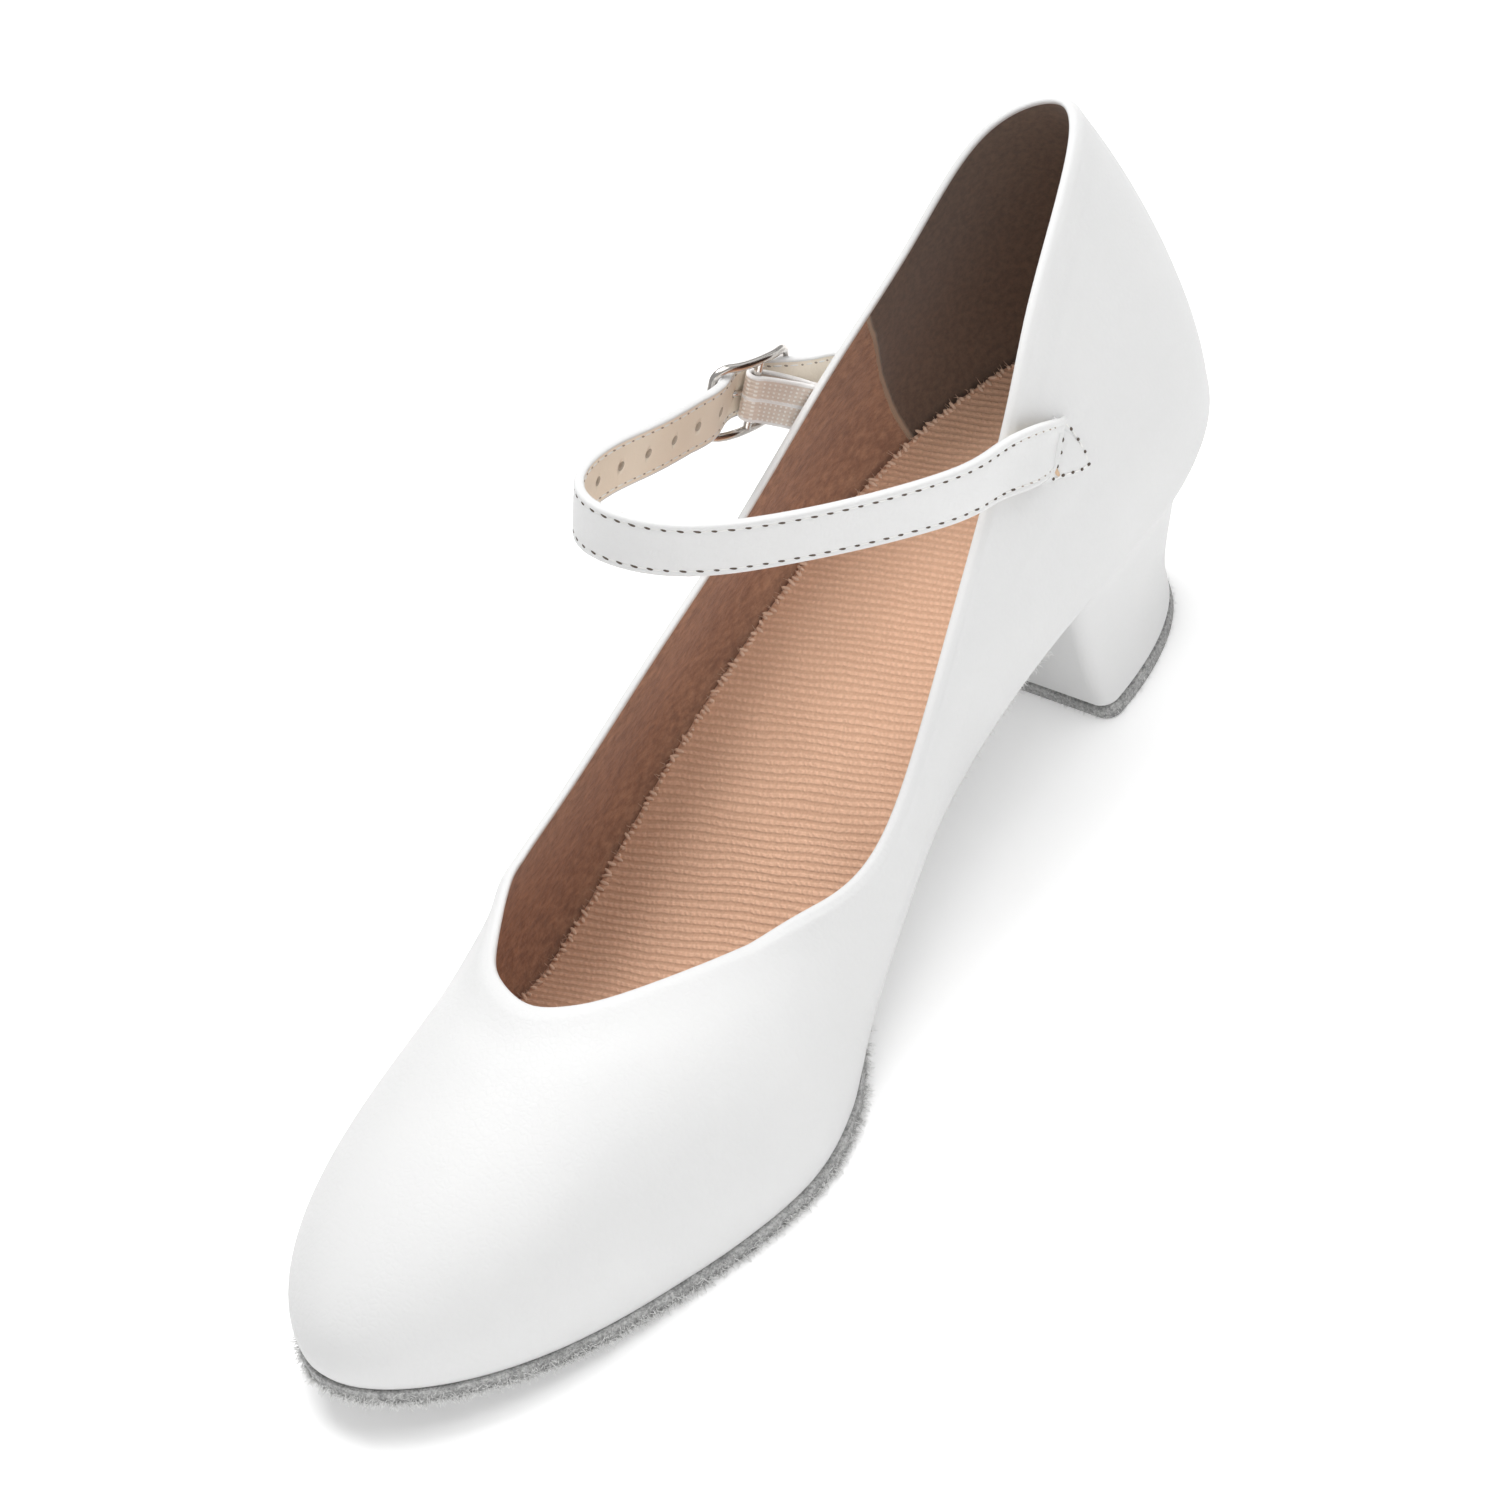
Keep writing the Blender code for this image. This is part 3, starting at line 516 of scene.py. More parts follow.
def suedeMaterial(name, light, dark):
    board = newMaterial(name, 0.95, Sheen_Weight=0.35)
    speck = board.noise(board.coords(), 1900.0, 4.0, 0.75)
    tone = board.total((speck, 0.7), (board.noise(board.coords(), 330.0, 3.0, 0.6), 0.3))
    board.paint(board.ramp(tone, 0.36, 0.64), dark, light)
    board.bump(speck, 0.9, 0.0005)
    return board.material


shoeLining = liningMaterial()
soleSuede = suedeMaterial("soleSuede", (0.66, 0.66, 0.65), (0.24, 0.24, 0.24))
tipSuede = suedeMaterial("tipSuede", (0.62, 0.62, 0.61), (0.21, 0.21, 0.21))

sock = {
    "pitch": 0.00143, "skew": -0.19, "light": (0.85, 0.54, 0.37), "dark": (0.56, 0.325, 0.21), "relief": 0.00022,
    "twistPitch": 0.0013,   # of the yarn along a rib
}


def sockMaterial():   # knitted ribs across the foot, with twisted yarn along each rib
    board = newMaterial("ribbedSock", 0.9, Sheen_Weight=0.25, Sheen_Roughness=0.5)
    place = board.coords()
    parts = board.split(place)
    wander = board.times(board.noise(board.coords(scale=(1, 1.6, 1)), 40.0, 2.0), 0.0022)
    small = board.times(board.noise(place, 520.0, 2.0), 0.0005)
    phase = board.total(parts["Y"], (parts["X"], sock["skew"]), wander, small)
    turns = board.times(phase, 2 * math.pi / sock["pitch"])
    rib = board.ramp(board.math("SINE", turns), -1.0, 0.9)
    lean = board.total((turns, 0.6), (board.noise(place, 330.0, 2.0), 14.0))
    twist = board.ramp(board.wave(parts["X"], sock["twistPitch"], lean), -0.9, 1.0)
    fuzz = board.noise(board.coords(scale=(1.4, 1, 1)), 1500.0, 4.0, 0.7)
    knots = board.times(twist, rib)
    # the colour follows the ribs, lighter on their crests and darker in the grooves between them: painted shade, laid
    # over the yarn's own fuzz and tone
    tone = board.total((rib, 0.24), (knots, 0.2), (fuzz, 0.85), (board.noise(place, 60.0, 3.0), 0.35))
    board.paint(board.ramp(tone, 0.3, 1.15, smooth=False), sock["dark"], sock["light"])
    board.bump(board.total((rib, 0.55), (knots, 0.4), (fuzz, 0.45)), 0.85, sock["relief"])
    return board.material


weave = {"dotPitch": 0.00125, "ribPitch": 0.00075, "centre": 0.00022, "edge": 0.0036}


def elasticMaterial():   # pale dots in rows, plain centre line and edges; UV is metres along and across the band
    board = newMaterial("elasticWeb", 0.8, Sheen_Weight=0.2)
    parts = board.split(board.coords(source="UV"))
    alongWave, acrossWave = board.wave(parts["X"], weave["dotPitch"]), board.wave(parts["Y"], weave["ribPitch"])
    dot = board.ramp(board.times(board.ramp(alongWave, -0.2, 0.8), board.ramp(acrossWave, -0.4, 0.6)), 0.2, 0.8)
    away = board.math("ABSOLUTE", parts["Y"])
    centre = board.ramp(away, weave["centre"], 0.0004, 1.0, 0.0)
    plain = board.math("MAXIMUM", centre, board.ramp(away, weave["edge"], 0.0039))
    tone = board.mix(dot, (0.72, 0.61, 0.53), (0.93, 0.88, 0.83))
    board.paint(plain, tone, (0.90, 0.88, 0.87))
    board.bump(board.total((board.ramp(acrossWave, -1.0, 0.6), 0.5), (dot, 0.5)), 0.7, 0.0002)
    return board.material


def metalMaterial():
    board = newMaterial("nickelPlate", 0.16, Metallic=1.0)
    cloud = board.noise(board.coords(), 300.0)
    board.paint(board.ramp(cloud, 0.3, 0.7), (0.64, 0.61, 0.58), (0.73, 0.70, 0.665))
    board.give(board.shader["Roughness"], board.ramp(cloud, 0.3, 0.7, 0.12, 0.22))
    return board.material


def plainMaterial(name, light, dark, roughness):
    board = newMaterial(name, roughness)
    board.paint(board.noise(board.coords(), 1500.0), dark, light)
    board.bump(board.noise(board.coords(), 2600.0, 2.0), 0.4, 0.0001)
    return board.material


ribbedSock, elasticWeb, nickelPlate = sockMaterial(), elasticMaterial(), metalMaterial()
whiteThread = plainMaterial("whiteThread", (0.90, 0.89, 0.87), (0.80, 0.79, 0.77), 0.6)
# the needle holes and faint holes are dark marks laid on the leather where the stitches go in: painted shade of the
# needle holes
needleHoleShade = plainMaterial("needleHoleShade", (0.16, 0.125, 0.10), (0.07, 0.055, 0.045), 0.9)
rawEdge = plainMaterial("rawEdge", (0.70, 0.61, 0.51), (0.36, 0.28, 0.22), 0.9)
faintHoleShade = plainMaterial("faintHoleShade", (0.45, 0.38, 0.32), (0.28, 0.23, 0.19), 0.9)
tanThread = plainMaterial("tanThread", (0.72, 0.52, 0.36), (0.58, 0.40, 0.26), 0.8)
sockYarn = plainMaterial("sockYarn", (0.90, 0.67, 0.52), (0.66, 0.45, 0.33), 0.9)
suedeFibre = plainMaterial("suedeFibre", (0.93, 0.93, 0.92), (0.72, 0.72, 0.71), 0.9)
print("materials ready")


# upper: outer leather, rounded rim and lining in one closed wall

upper = {
    "roundSteps": 18,        # columns between two rows of the table
    "outerLevels": 64,
    "innerLevels": 34,
    "rimSteps": 9,
    "foldRidge": 0.00022,    # turned-over edge along the topline
    "foldBelow": 0.0011, "foldWidth": 0.0022,
    "rimRise": 0.0009,
    "rimRound": 0.0004,      # the edge leans in before it turns over
    "valley": 0.00025, "valleyBelow": 0.0060, "valleyWidth": 0.0036,   # slack under the topline of both quarters
    # place, level, half length, half width (in level), turn in degrees, depth in mm
    "creases": [
        (2.02, 0.80, 0.55, 0.03, 12, 0.22), (1.72, 0.90, 0.45, 0.022, 10, 0.16), (2.10, 0.60, 0.75, 0.03, -16, 0.18),
        (2.55, 0.42, 0.8, 0.04, -14, 0.16), (3.05, 0.50, 0.6, 0.035, -20, 0.16), (1.45, 0.40, 0.7, 0.05, -10, 0.15),
        (2.95, 0.20, 0.70, 0.030, -8, 0.12), (4.6, 0.55, 0.8, 0.05, 14, 0.12), (19.6, 0.70, 0.7, 0.035, 12, 0.18),
        (20.6, 0.35, 0.8, 0.05, -12, 0.15), (17.4, 0.55, 0.8, 0.05, -12, 0.12), (7.2, 0.35, 0.6, 0.06, 24, 0.12),
        (7.9, 0.42, 0.5, 0.05, 30, 0.10), (14.4, 0.40, 0.6, 0.06, -24, 0.12),
    ],
    "hollow": 0.0004, "hollowBelow": 0.0075, "hollowWidth": 0.0045,   # soft dip under the fold at the throat
    "turnUnder": 0.0003, "turnWidth": 0.0005,   # the leather turns in over the sole
    "bulge": 0.00028, "bulgeAbove": 0.0016, "bulgeWidth": 0.0011,   # and stands out over the heel
    "ripple": 0.00006, "seamPad": 0.00035, "seamWidth": 0.0012,
}


def makeUpper():
    count = len(upperRows) * upper["roundSteps"]
    places = np.arange(count) / upper["roundSteps"]
    spread = np.linspace(0, 1, upper["outerLevels"])
    levels = spread ** 0.9 * 0.5 + (1 - (1 - spread) ** 1.25) * 0.5
    outer = wallGrid(places, levels)
    normals = gridNormals(outer)
    steps = np.linalg.norm(np.diff(outer, axis=1), axis=2)
    fromTop = np.concatenate([np.cumsum(steps[:, ::-1], axis=1)[:, ::-1], np.zeros((count, 1))], axis=1)
    fromFoot = np.concatenate([np.zeros((count, 1)), np.cumsum(steps, axis=1)], axis=1)
    throat = ease(places, 6.0, 9.0) * (1 - ease(places, 13.5, 16.0))
    ridge = upper["foldRidge"] * bell(fromTop - upper["foldBelow"], upper["foldWidth"])
    ridge -= upper["rimRound"] * bell(fromTop, 0.0007)
    quarters = ease(places, 0.5, 1.4) * (1 - ease(places, 2.3, 4.0))
    quarters += ease(places, 18.0, 19.7) * (1 - ease(places, 20.6, 21.5))
    ridge -= upper["valley"] * bell(fromTop - upper["valleyBelow"], upper["valleyWidth"]) * quarters[:, None]
    for place, level, long, wide, turn, depth in upper["creases"]:   # shallow grooves, each with a raised side
        across, down = (places - place)[:, None] / long, (levels - level)[None, :] / wide
        lean = down + across * math.tan(math.radians(turn)) * long / wide * 0.2
        ridge -= depth / 1000 * bell(across) * (bell(lean) - 0.6 * bell(lean - 1.6))
    dip = upper["hollow"] * bell(fromTop - upper["hollowBelow"], upper["hollowWidth"]) * throat[:, None]
    overHeel = 1 - ease(outer[:, :1, 1], 0.050, 0.060)
    turnUnder = upper["turnUnder"] * bell(fromFoot, upper["turnWidth"]) * (1 - 0.5 * overHeel)
    turnUnder -= upper["bulge"] * bell(fromFoot - upper["bulgeAbove"], upper["bulgeWidth"]) * overHeel
    around = np.sin(places * 2.1) * 0.5 + np.sin(places * 3.7 + 1.0) * 0.5
    ripple = upper["ripple"] * around[:, None] * bell(fromTop - 0.006, 0.006)
    inner = innerFace(outer, footRing(places)[1])
    outer = outer + normals * (ridge - dip - turnUnder + ripple)[:, :, None]
    climb = unit(outer[:, -1] - outer[:, -3])
    middle, half = (outer[:, -1] + inner[:, -1]) / 2, (outer[:, -1] - inner[:, -1]) / 2
    rims = [middle + half * math.cos(turn) + climb * upper["rimRise"] * math.sin(turn)
            for turn in np.linspace(0, math.pi, upper["rimSteps"] + 2)[1:-1]]
    picked = np.unique(np.linspace(upper["outerLevels"] - 1, 0, upper["innerLevels"]).round().astype(int))[::-1]
    seamAt = lining["seamAlong"] - 0.0004 + lining["seamLean"] * (inner[:, :, 2] - lining["seamHeight"])
    pad = upper["seamPad"] * bell(inner[:, :, 1] - seamAt, upper["seamWidth"]) * ease(fromTop, 0.003, 0.006)
    inner = inner - normals * (pad * (inner[:, :, 0] < 0))[:, :, None]   # the lining's seam stands out a little
    rings = [outer[:, i] for i in range(upper["outerLevels"])] + rims + [inner[:, i] for i in picked]
    faces, slots = [], []
    outerCount = upper["outerLevels"] + upper["rimSteps"]
    for level in range(len(rings)):
        after = (level + 1) % len(rings)
        faces += bandFaces(level * count, after * count, count)
        slots += [0 if level < outerCount or after == 0 else 1] * count
    return makePiece("upperLeather", np.vstack(rings), faces, [whiteLeather, shoeLining], slots, sharp=60)


upperLeather = finish(makeUpper(), "white_leather", "upper")
print("upper done", len(upperLeather.data.polygons))


# slit where the strap enters, and the stitched flag behind it

slitFlag = {
    "ridgeTop": (2.545, 0.745),      # place round the upper and level up the wall
    "ridgeFoot": (2.955, 0.675),
    "tipTop": (2.50, 0.485),
    "tipFoot": (2.60, 0.475),
    "lift": 0.0023, "pillow": 0.0010, "column": 0.16,
    "holes": [   # place, level
        (2.52, 0.705), (2.50, 0.655), (2.51, 0.605), (2.535, 0.555), (2.575, 0.512), (2.645, 0.532),
        (2.72, 0.567), (2.80, 0.607), (2.88, 0.645), (2.64, 0.690), (2.72, 0.676), (2.81, 0.664),
    ],
    "threadEnd": (2.84, 0.650),
}


def flagPoint(u, v):   # u from ridge to tip, v from top to foot
    corners = [np.array(slitFlag[key]) for key in ("ridgeTop", "ridgeFoot", "tipTop", "tipFoot")]
    return (1 - u) * ((1 - v) * corners[0] + v * corners[1]) + u * ((1 - v) * corners[2] + v * corners[3])


def flagHeight(u, v):
    u, v = min(max(u, 0), 1), min(max(v, 0), 1)
    lip = (slitFlag["lift"] - slitFlag["pillow"]) * bell(u, 0.10)
    valley = 0.0002 * bell(u - slitFlag["column"], 0.05)
    puff = slitFlag["pillow"] * (1 - u) ** 1.1 + 0.0002 * math.sin(math.pi * u)
    return (lip + puff - valley) * math.sin(math.pi * v) ** 0.45 - 0.00010 * (1 - math.sin(math.pi * v))


def offWall(u, v, lift):
    base, out, up = wallPoint(*flagPoint(u, v))
    return base + out * lift


def makeFlag():
    shares = np.linspace(0, 1, 31)
    count, rings = len(shares), []
    for share, forward in ((-0.3, 0.0005), (0.40, 0.0008), (0.75, 0.0007), (0.97, 0.00035)):   # the lip, from below
        ring = []
        for v in shares:
            base, out, up = wallPoint(*flagPoint(0, v))
            toTip = unit(wallPoint(*flagPoint(0.1, v))[0] - base)
            ring.append(base + out * (flagHeight(0, v) * share - (0.0003 if share < 0 else 0)) - toTip * forward)
        rings.append(ring)
    rings += [[offWall(u, v, flagHeight(u, v)) for v in shares] for u in shares ** 1.2]
    rings += [[offWall(u, v, -0.0009) for v in shares] for u in shares[::-10] ** 1.2]
    faces = []
    for i in range(len(rings)):
        faces += bandFaces(i * count, (i + 1) % len(rings) * count, count, closed=False)
    faces += [tuple(i * count + end for i in range(len(rings))) for end in (0, count - 1)]
    return makePiece("slitFlag", np.vstack(rings), faces, [whiteLeather], sharp=70)


finish(makeFlag(), "white_leather")


def flagShares(place, level):   # u and v of a place on the wall
    shares = [(u, v) for u in np.linspace(0, 1, 51) for v in np.linspace(0, 1, 51)]
    gaps = [np.hypot(*((flagPoint(u, v) - (place, level)) * (1.0, 2.4))) for u, v in shares]
    return shares[int(np.argmin(gaps))]


def flagStitches():
    points, runs, outs = [], [], []
    table = slitFlag["holes"]
    for i, (place, level) in enumerate(table):
        base, out, up = wallPoint(place, level)
        after = wallPoint(*table[i + 1 if i < len(table) - 1 else i - 1])[0]
        points.append(base + out * (max(flagHeight(*flagShares(place, level)), 0) + 0.00008))
        runs.append(after - base)
        outs.append(out)
    return np.array(points), np.array(runs), np.array(outs)


points, runs, outs = flagStitches()
# dark marks at the flag's stitches: painted shade of the needle holes
scatter("flagNeedleHoleShades", stitchTree, points, runs, outs, needleHoleShade, "white_leather",
        (0.00075, 0.0006, 0.0004), 0.2)
middles = (points[:8] + points[1:9]) / 2 - outs[:8] * 0.0001
scatter("flagThread", stitchTree, middles, points[1:9] - points[:8], outs[:8], whiteThread, "white_leather",
        (0.0017, 0.0004, 0.00035))
base, out, up = wallPoint(*slitFlag["threadEnd"])
points = [base + out * 0.0009, base + out * 0.0010 + up * 0.0007]
scatter("flagThreadEnd", stitchTree, points, [up, up], [out, out], tanThread, "strap_leather", (0.0015, 0.0008, 0.0005))
print("slit done")


# sock

# height over the foot's bottom, distance from the lining
sockSection = [(0, 0.0001), (0.0016, 0.0001), (0.0028, 0.0002), (0.0032, 0.0007), (0.0033, 0.0016), (0.0033, 0.004)]


def makeSock():
    steps = 10
    places = np.arange(len(upperRows) * steps) / steps
    outward = footRing(places)[1]
    inner = innerFace(wallGrid(places, np.linspace(0, 1, 12)), outward)[:, :3]
    rings = []
    for height, inset in sockSection:
        ring = []
        for column, away in zip(inner, outward):
            lift = column[:, 2] - bedHeight(column[:, 1])
            across, along = readAt([height], lift, column)[0, :2] - away * (shoe["gap"] + inset)
            ring.append((across, along, bedHeight(along)[0] + height))
        rings.append(np.array(ring))
    return makePile("sock", rings, toeRow * steps, ribbedSock, 60), rings[3], outward


sockPiece, sockEdge, sockOut = makeSock()
finish(sockPiece, "sock_fabric", "insole")

fray = {"perPitch": 1.3, "size": (0.0016, 0.00075, 0.0007), "fuzz": (0.0012, 0.00014, 0.00014), "fuzzPerEnd": 3}


def frayedEdge():   # pale yarn ends that stand up where the ribs meet the wall
    edge, outs = (np.vstack([ring, ring[:1]]) for ring in (sockEdge, sockOut))
    travel = travelled(edge)
    count = int(travel[-1] / sock["pitch"] * fray["perPitch"])
    at = (np.arange(count) + rng.uniform(-0.3, 0.3, count)) * travel[-1] / count
    away = np.column_stack([readAt(at, travel, outs), np.zeros(count)])
    run = unit(away + rng.normal(0, 0.35, (count, 3)) + [0, 0, 0.25])
    points = readAt(at, travel, edge) - away * rng.uniform(0.0003, 0.0010, (count, 1)) + [0, 0, 0.00015]
    return points, run, np.tile([0.1, 0.2, 1.0], (count, 1))


points, run, out = frayedEdge()
scatter("sockFray", stitchTree, points, run, out, sockYarn, "sock_fabric", fray["size"], 0.5)
points, run, out = (np.repeat(values, fray["fuzzPerEnd"], axis=0) for values in (points, run, out))
points = points + rng.normal(0, 0.0003, points.shape) * [1, 1, 0.3]
run = run + rng.normal(0, 0.7, run.shape)
scatter("sockFuzz", hairTree, points, run, out, sockYarn, "sock_fabric", fray["fuzz"], 0.5)
print("sock done")


# outsole

outsole = {
    "waist": 0.0022, "waistInset": 0.0025, "margin": 0.0005, "rear": 0.0583,
    # inset from the edge, share of the thickness
    "section": [(0.0009, -0.08), (0.0001, -0.03), (0.0, 0.12), (-0.00005, 0.45), (0.0001, 0.75), (0.0004, 0.92),
                (0.0010, 1.0), (0.004, 1.0)],
    "fibres": 5600, "fibre": (0.0012, 0.0002, 0.0002),
}


def sideWidth(along, side, ring, toe):
    half = ring[:toe + 1] if side > 0 else np.vstack([ring[toe:], ring[:1]])[::-1]
    return np.interp(along, half[:, 1], half[:, 0])


def makeOutsole():
    steps = 14
    toe = toeRow * steps
    edge, outward = footRing(np.arange(len(upperRows) * steps) / steps)
    rear = outsole["rear"]
    kept = edge[:, 1] > rear + 0.004
    front = toe - np.flatnonzero(kept)[0] + 1
    corners = [(sideWidth(rear, side, edge, toe), rear) for side in (1, -1)]
    edge = np.vstack([corners[:1], edge[kept], corners[1:]])
    outward = np.vstack([[(1, 0)], outward[kept], [(-1, 0)]])

    def ball(points):   # 0 at the waist, 1 under the ball
        return ease(points[:, 1], 0.5 * shoe["length"], 0.6 * shoe["length"])

    reach = ball(edge) * outsole["margin"] - (1 - ball(edge)) * outsole["waistInset"]
    rings = []
    for inset, drop in outsole["section"]:
        ring = edge + outward * (reach - inset)[:, None]
        ring[[0, -1], 1] = rear
        thick = outsole["waist"] + (shoe["sole"] - outsole["waist"]) * ball(ring)
        rings.append(np.column_stack([ring, bedHeight(ring[:, 1]) - shoe["gap"] - (thick - shoe["gap"]) * drop]))
    return makePile("suedeSole", rings, front, soleSuede, 50), rings, outward


solePiece, soleRings, soleOut = makeOutsole()
finish(solePiece, "sole_suede", "outsole")


def fuzzAlong(low, high, outward, count, skip):   # loose fibres between two edges of a suede piece
    low, high, outward = low[skip:-skip], high[skip:-skip], outward[skip:-skip]
    travel = travelled(low)
    at = np.sort(rng.uniform(0, travel[-1], count))
    down = rng.beta(2.2, 0.9, count)[:, None]
    lowAt, highAt = readAt(at, travel, low), readAt(at, travel, high)
    away = np.column_stack([readAt(at, travel, outward), np.zeros(count)])
    points = highAt + (lowAt - highAt) * down
    run = unit(away * 0.7 + rng.normal(0, 0.5, (count, 3)) + [0, 0, -0.15])
    run[:, 2] = np.maximum(run[:, 2], -np.maximum(points[:, 2] - 0.0003, 0) / 0.0020)   # flatter near the floor
    points += run * 0.0002 + away * 0.00008
    points[:, 2] = np.maximum(points[:, 2], 0.0006)
    return points, run, np.tile([0.1, 0.1, 1.0], (count, 1))


fibres = fuzzAlong(soleRings[5], soleRings[2], soleOut, outsole["fibres"], 2)
scatter("soleFuzz", hairTree, *fibres, suedeFibre, "sole_suede", outsole["fibre"], 0.6)
print("outsole done")


# heel and its suede tip

heel = {
    "tipThickness": 0.003, "tipWidth": 0.0388, "tipLength": 0.0345, "tipBack": 0.020, "tipRoundness": 2.15,
    "breastCorner": 0.003, "seatLength": 0.058, "seatInset": 0.0004, "levels": 40,
    # share of the height, share of the way from the tip's outline to the seat's
    "flare": [(0, 0), (0.18, 0.03), (0.36, 0.14), (0.54, 0.30), (0.70, 0.45), (0.84, 0.60), (0.93, 0.79), (1, 1)],
    "rounding": 0.0003,   # of the covering's lower edge
    # inset from the edge, height over the floor
    "tipSection": [(0.003, 0.0), (0.0005, 0.0), (0.0001, 0.0004), (0.0, 0.0015), (0.0, 0.0027), (0.0004, 0.003),
                   (0.003, 0.003)],
    "fibres": 420, "fibre": (0.0006, 0.00011, 0.00011),
}


def heelSides():
    corner = heel["breastCorner"] / heel["tipLength"]
    sweep = 1 - np.linspace(0, math.sqrt(1 - corner), 34) ** 2
    turn = corner * (1 - np.sin(np.radians(np.linspace(12, 90, 7))))
    return np.concatenate([sweep, turn])


def cutCorner(behind, length):
    inside = np.clip(heel["breastCorner"] - behind * length, 0, heel["breastCorner"])
    return heel["breastCorner"] - np.sqrt(heel["breastCorner"] ** 2 - inside ** 2)


def ringOutward(ring):
    tangent = np.roll(ring, -1, axis=0) - np.roll(ring, 1, axis=0)
    return unit(np.column_stack([tangent[:, 1], -tangent[:, 0]]))


def tipOutline(inset=0.0):
    behind = heelSides()
    half = heel["tipWidth"] / 2 * np.sqrt(1 - behind ** heel["tipRoundness"]) - cutCorner(behind, heel["tipLength"])
    half[0] = 0
    along = heel["tipBack"] + heel["tipLength"] * (1 - behind)
    innerSide = np.column_stack([half, along])
    ring = np.vstack([innerSide, (innerSide * [-1, 1])[:0:-1]])
    return ring - ringOutward(ring) * inset


def seatOutline():
    edge = footRing(np.linspace(0, len(upperRows), 353)[:-1])[0]
    toe = toeRow * 16
    innerHalf, outerHalf = edge[:toe + 1], np.vstack([edge[toe:], edge[:1]])[::-1]
    behind = heelSides()
    back = edge[0, 1] + heel["seatInset"]
    length = heel["seatLength"] - back
    along = back + length * (1 - behind)
    narrow = heel["seatInset"] + cutCorner(behind, length)
    innerSide = np.interp(along, innerHalf[:, 1], innerHalf[:, 0]) - narrow
    outerSide = np.interp(along, outerHalf[:, 1], outerHalf[:, 0]) + narrow
    innerSide[0] = 0
    return np.vstack([np.column_stack([innerSide, along]), np.column_stack([outerSide, along])[:0:-1]])


def makeHeel():
    bottom, seat = tipOutline(), seatOutline()
    behind = heelSides()
    behind = np.concatenate([behind, behind[:0:-1]])
    heights = np.linspace(0, 1, heel["levels"])
    low = heel["tipThickness"] + shoe["gap"]
    high = bedHeight(seat[:, 1]) + 0.0003   # its edge hides behind the upper
    rings = []
    for height, flare in zip(heights, curveThrough(*np.array(heel["flare"]).T, heights)[:, 0]):
        across = bottom[:, 0] + (seat[:, 0] - bottom[:, 0]) * flare
        along = bottom[:, 1] + (seat[:, 1] - bottom[:, 1]) * (flare * behind + height * (1 - behind))
        rings.append(np.column_stack([across, along, low + (high - low) * height]))
    edge = rings[0] + unit((rings[0].mean(axis=0) - rings[0]) * [1, 1, 0]) * heel["rounding"]
    rings[0] = rings[0] + [0, 0, heel["rounding"]]
    return makePile("heelCover", [edge] + rings, len(heelSides()) - 1, heelLeather, 45)


def makeTip():
    rings = []
    for inset, height in heel["tipSection"]:
        ring = tipOutline(inset)
        rings.append(np.column_stack([ring, np.full(len(ring), height)]))
    return makePile("suedeTip", rings, len(heelSides()) - 1, tipSuede, 50), rings


finish(makeHeel(), "heel_leather", "heel")
tipPiece, tipRings = makeTip()
finish(tipPiece, "tip_suede", "heel_tip")
fibres = fuzzAlong(tipRings[2], tipRings[4], ringOutward(tipRings[3]), heel["fibres"], 1)
scatter("tipFuzz", hairTree, *fibres, suedeFibre, "tip_suede", heel["fibre"], 0.6)
print("heel done")


# strap

strap = {
    "width": 0.0106, "thick": 0.0018, "tail": 0.027, "holeWidth": 0.0018, "holePitch": 0.008, "holes": 6,
    "stitchInset": 0.00125, "stitchPitch": 0.0028,
    "overBar": 0.0019, "underFront": 0.0002, "underRear": -0.0031, "tailLevel": -0.0053, "crossing": -0.0024,
    "endRow": 9.82, "innerSide": 0.015, "hang": 0.0010,
}
elastic = {"width": 0.0088, "thick": 0.0009, "slitRow": 18.93, "slitLevel": 0.80}
buckle = {
    "reach": 0.0095, "wire": 0.0016, "prong": 0.0011, "corner": 0.0026,
    # share of the reach, level of the frame's bowed sides between its two ends
    "bow": [(-1.0, 0.0022), (-0.72, 0.0005), (-0.40, -0.0006), (0.0, -0.0012), (0.5, -0.0015), (1.0, -0.0011)],
}

# along, across, height above the foot's bottom, lean across, lean along
strapRows = [
    (0.209, 0.361, 0.556, -0.10, -0.55), (0.259, 0.366, 0.698, 0.01, -0.49), (0.308, 0.386, 0.838, 0.12, -0.44),
    (0.372, 0.332, 1.033, 0.18, -0.33), (0.432, 0.232, 1.231, 0.17, -0.24), (0.482, 0.062, 1.398, 0.08, -0.27),
    (0.487, -0.166, 1.424, 0.02, -0.39), (0.436, -0.292, 1.246, 0.14, -0.51), (0.374, -0.323, 1.014, 0.21, -0.54),
    (0.312, -0.365, 0.802, 0.18, -0.55), (0.250, -0.412, 0.613, 0.19, -0.56),
]

elasticPitch = strap["thick"] / 2 + shoe["gap"] + elastic["thick"] + shoe["gap"]
barOut = strap["overBar"] - elasticPitch - buckle["wire"] / 2
frontOut = strap["underFront"] + strap["thick"] / 2 + shoe["gap"] + buckle["wire"] / 2


def strapLine(places):
    line = curveThrough(np.arange(len(strapRows)), strapRows, places)
    along = line[:, 0] * shoe["length"]
    height = bedHeight(along) + line[:, 2] * shoe["collarHeight"]
    centres = np.column_stack([line[:, 1] * shoe["ballWidth"], along, height])
    return centres, unit(np.column_stack([line[:, 3:5], np.ones(len(line))]))


def bucklePlace():   # middle of the bar, and the ways along the strap, across it and off the foot
    centres, edges = strapLine([strap["endRow"] - 0.05, strap["endRow"]])
    run = unit(centres[1] - centres[0])
    edge = unit(edges[1] - run * np.dot(edges[1], run))
    return centres[1], run, edge, facing(np.cross(run, edge), (-1, 0, 0))


buckleMiddle, buckleRun, buckleEdge, buckleOut = bucklePlace()


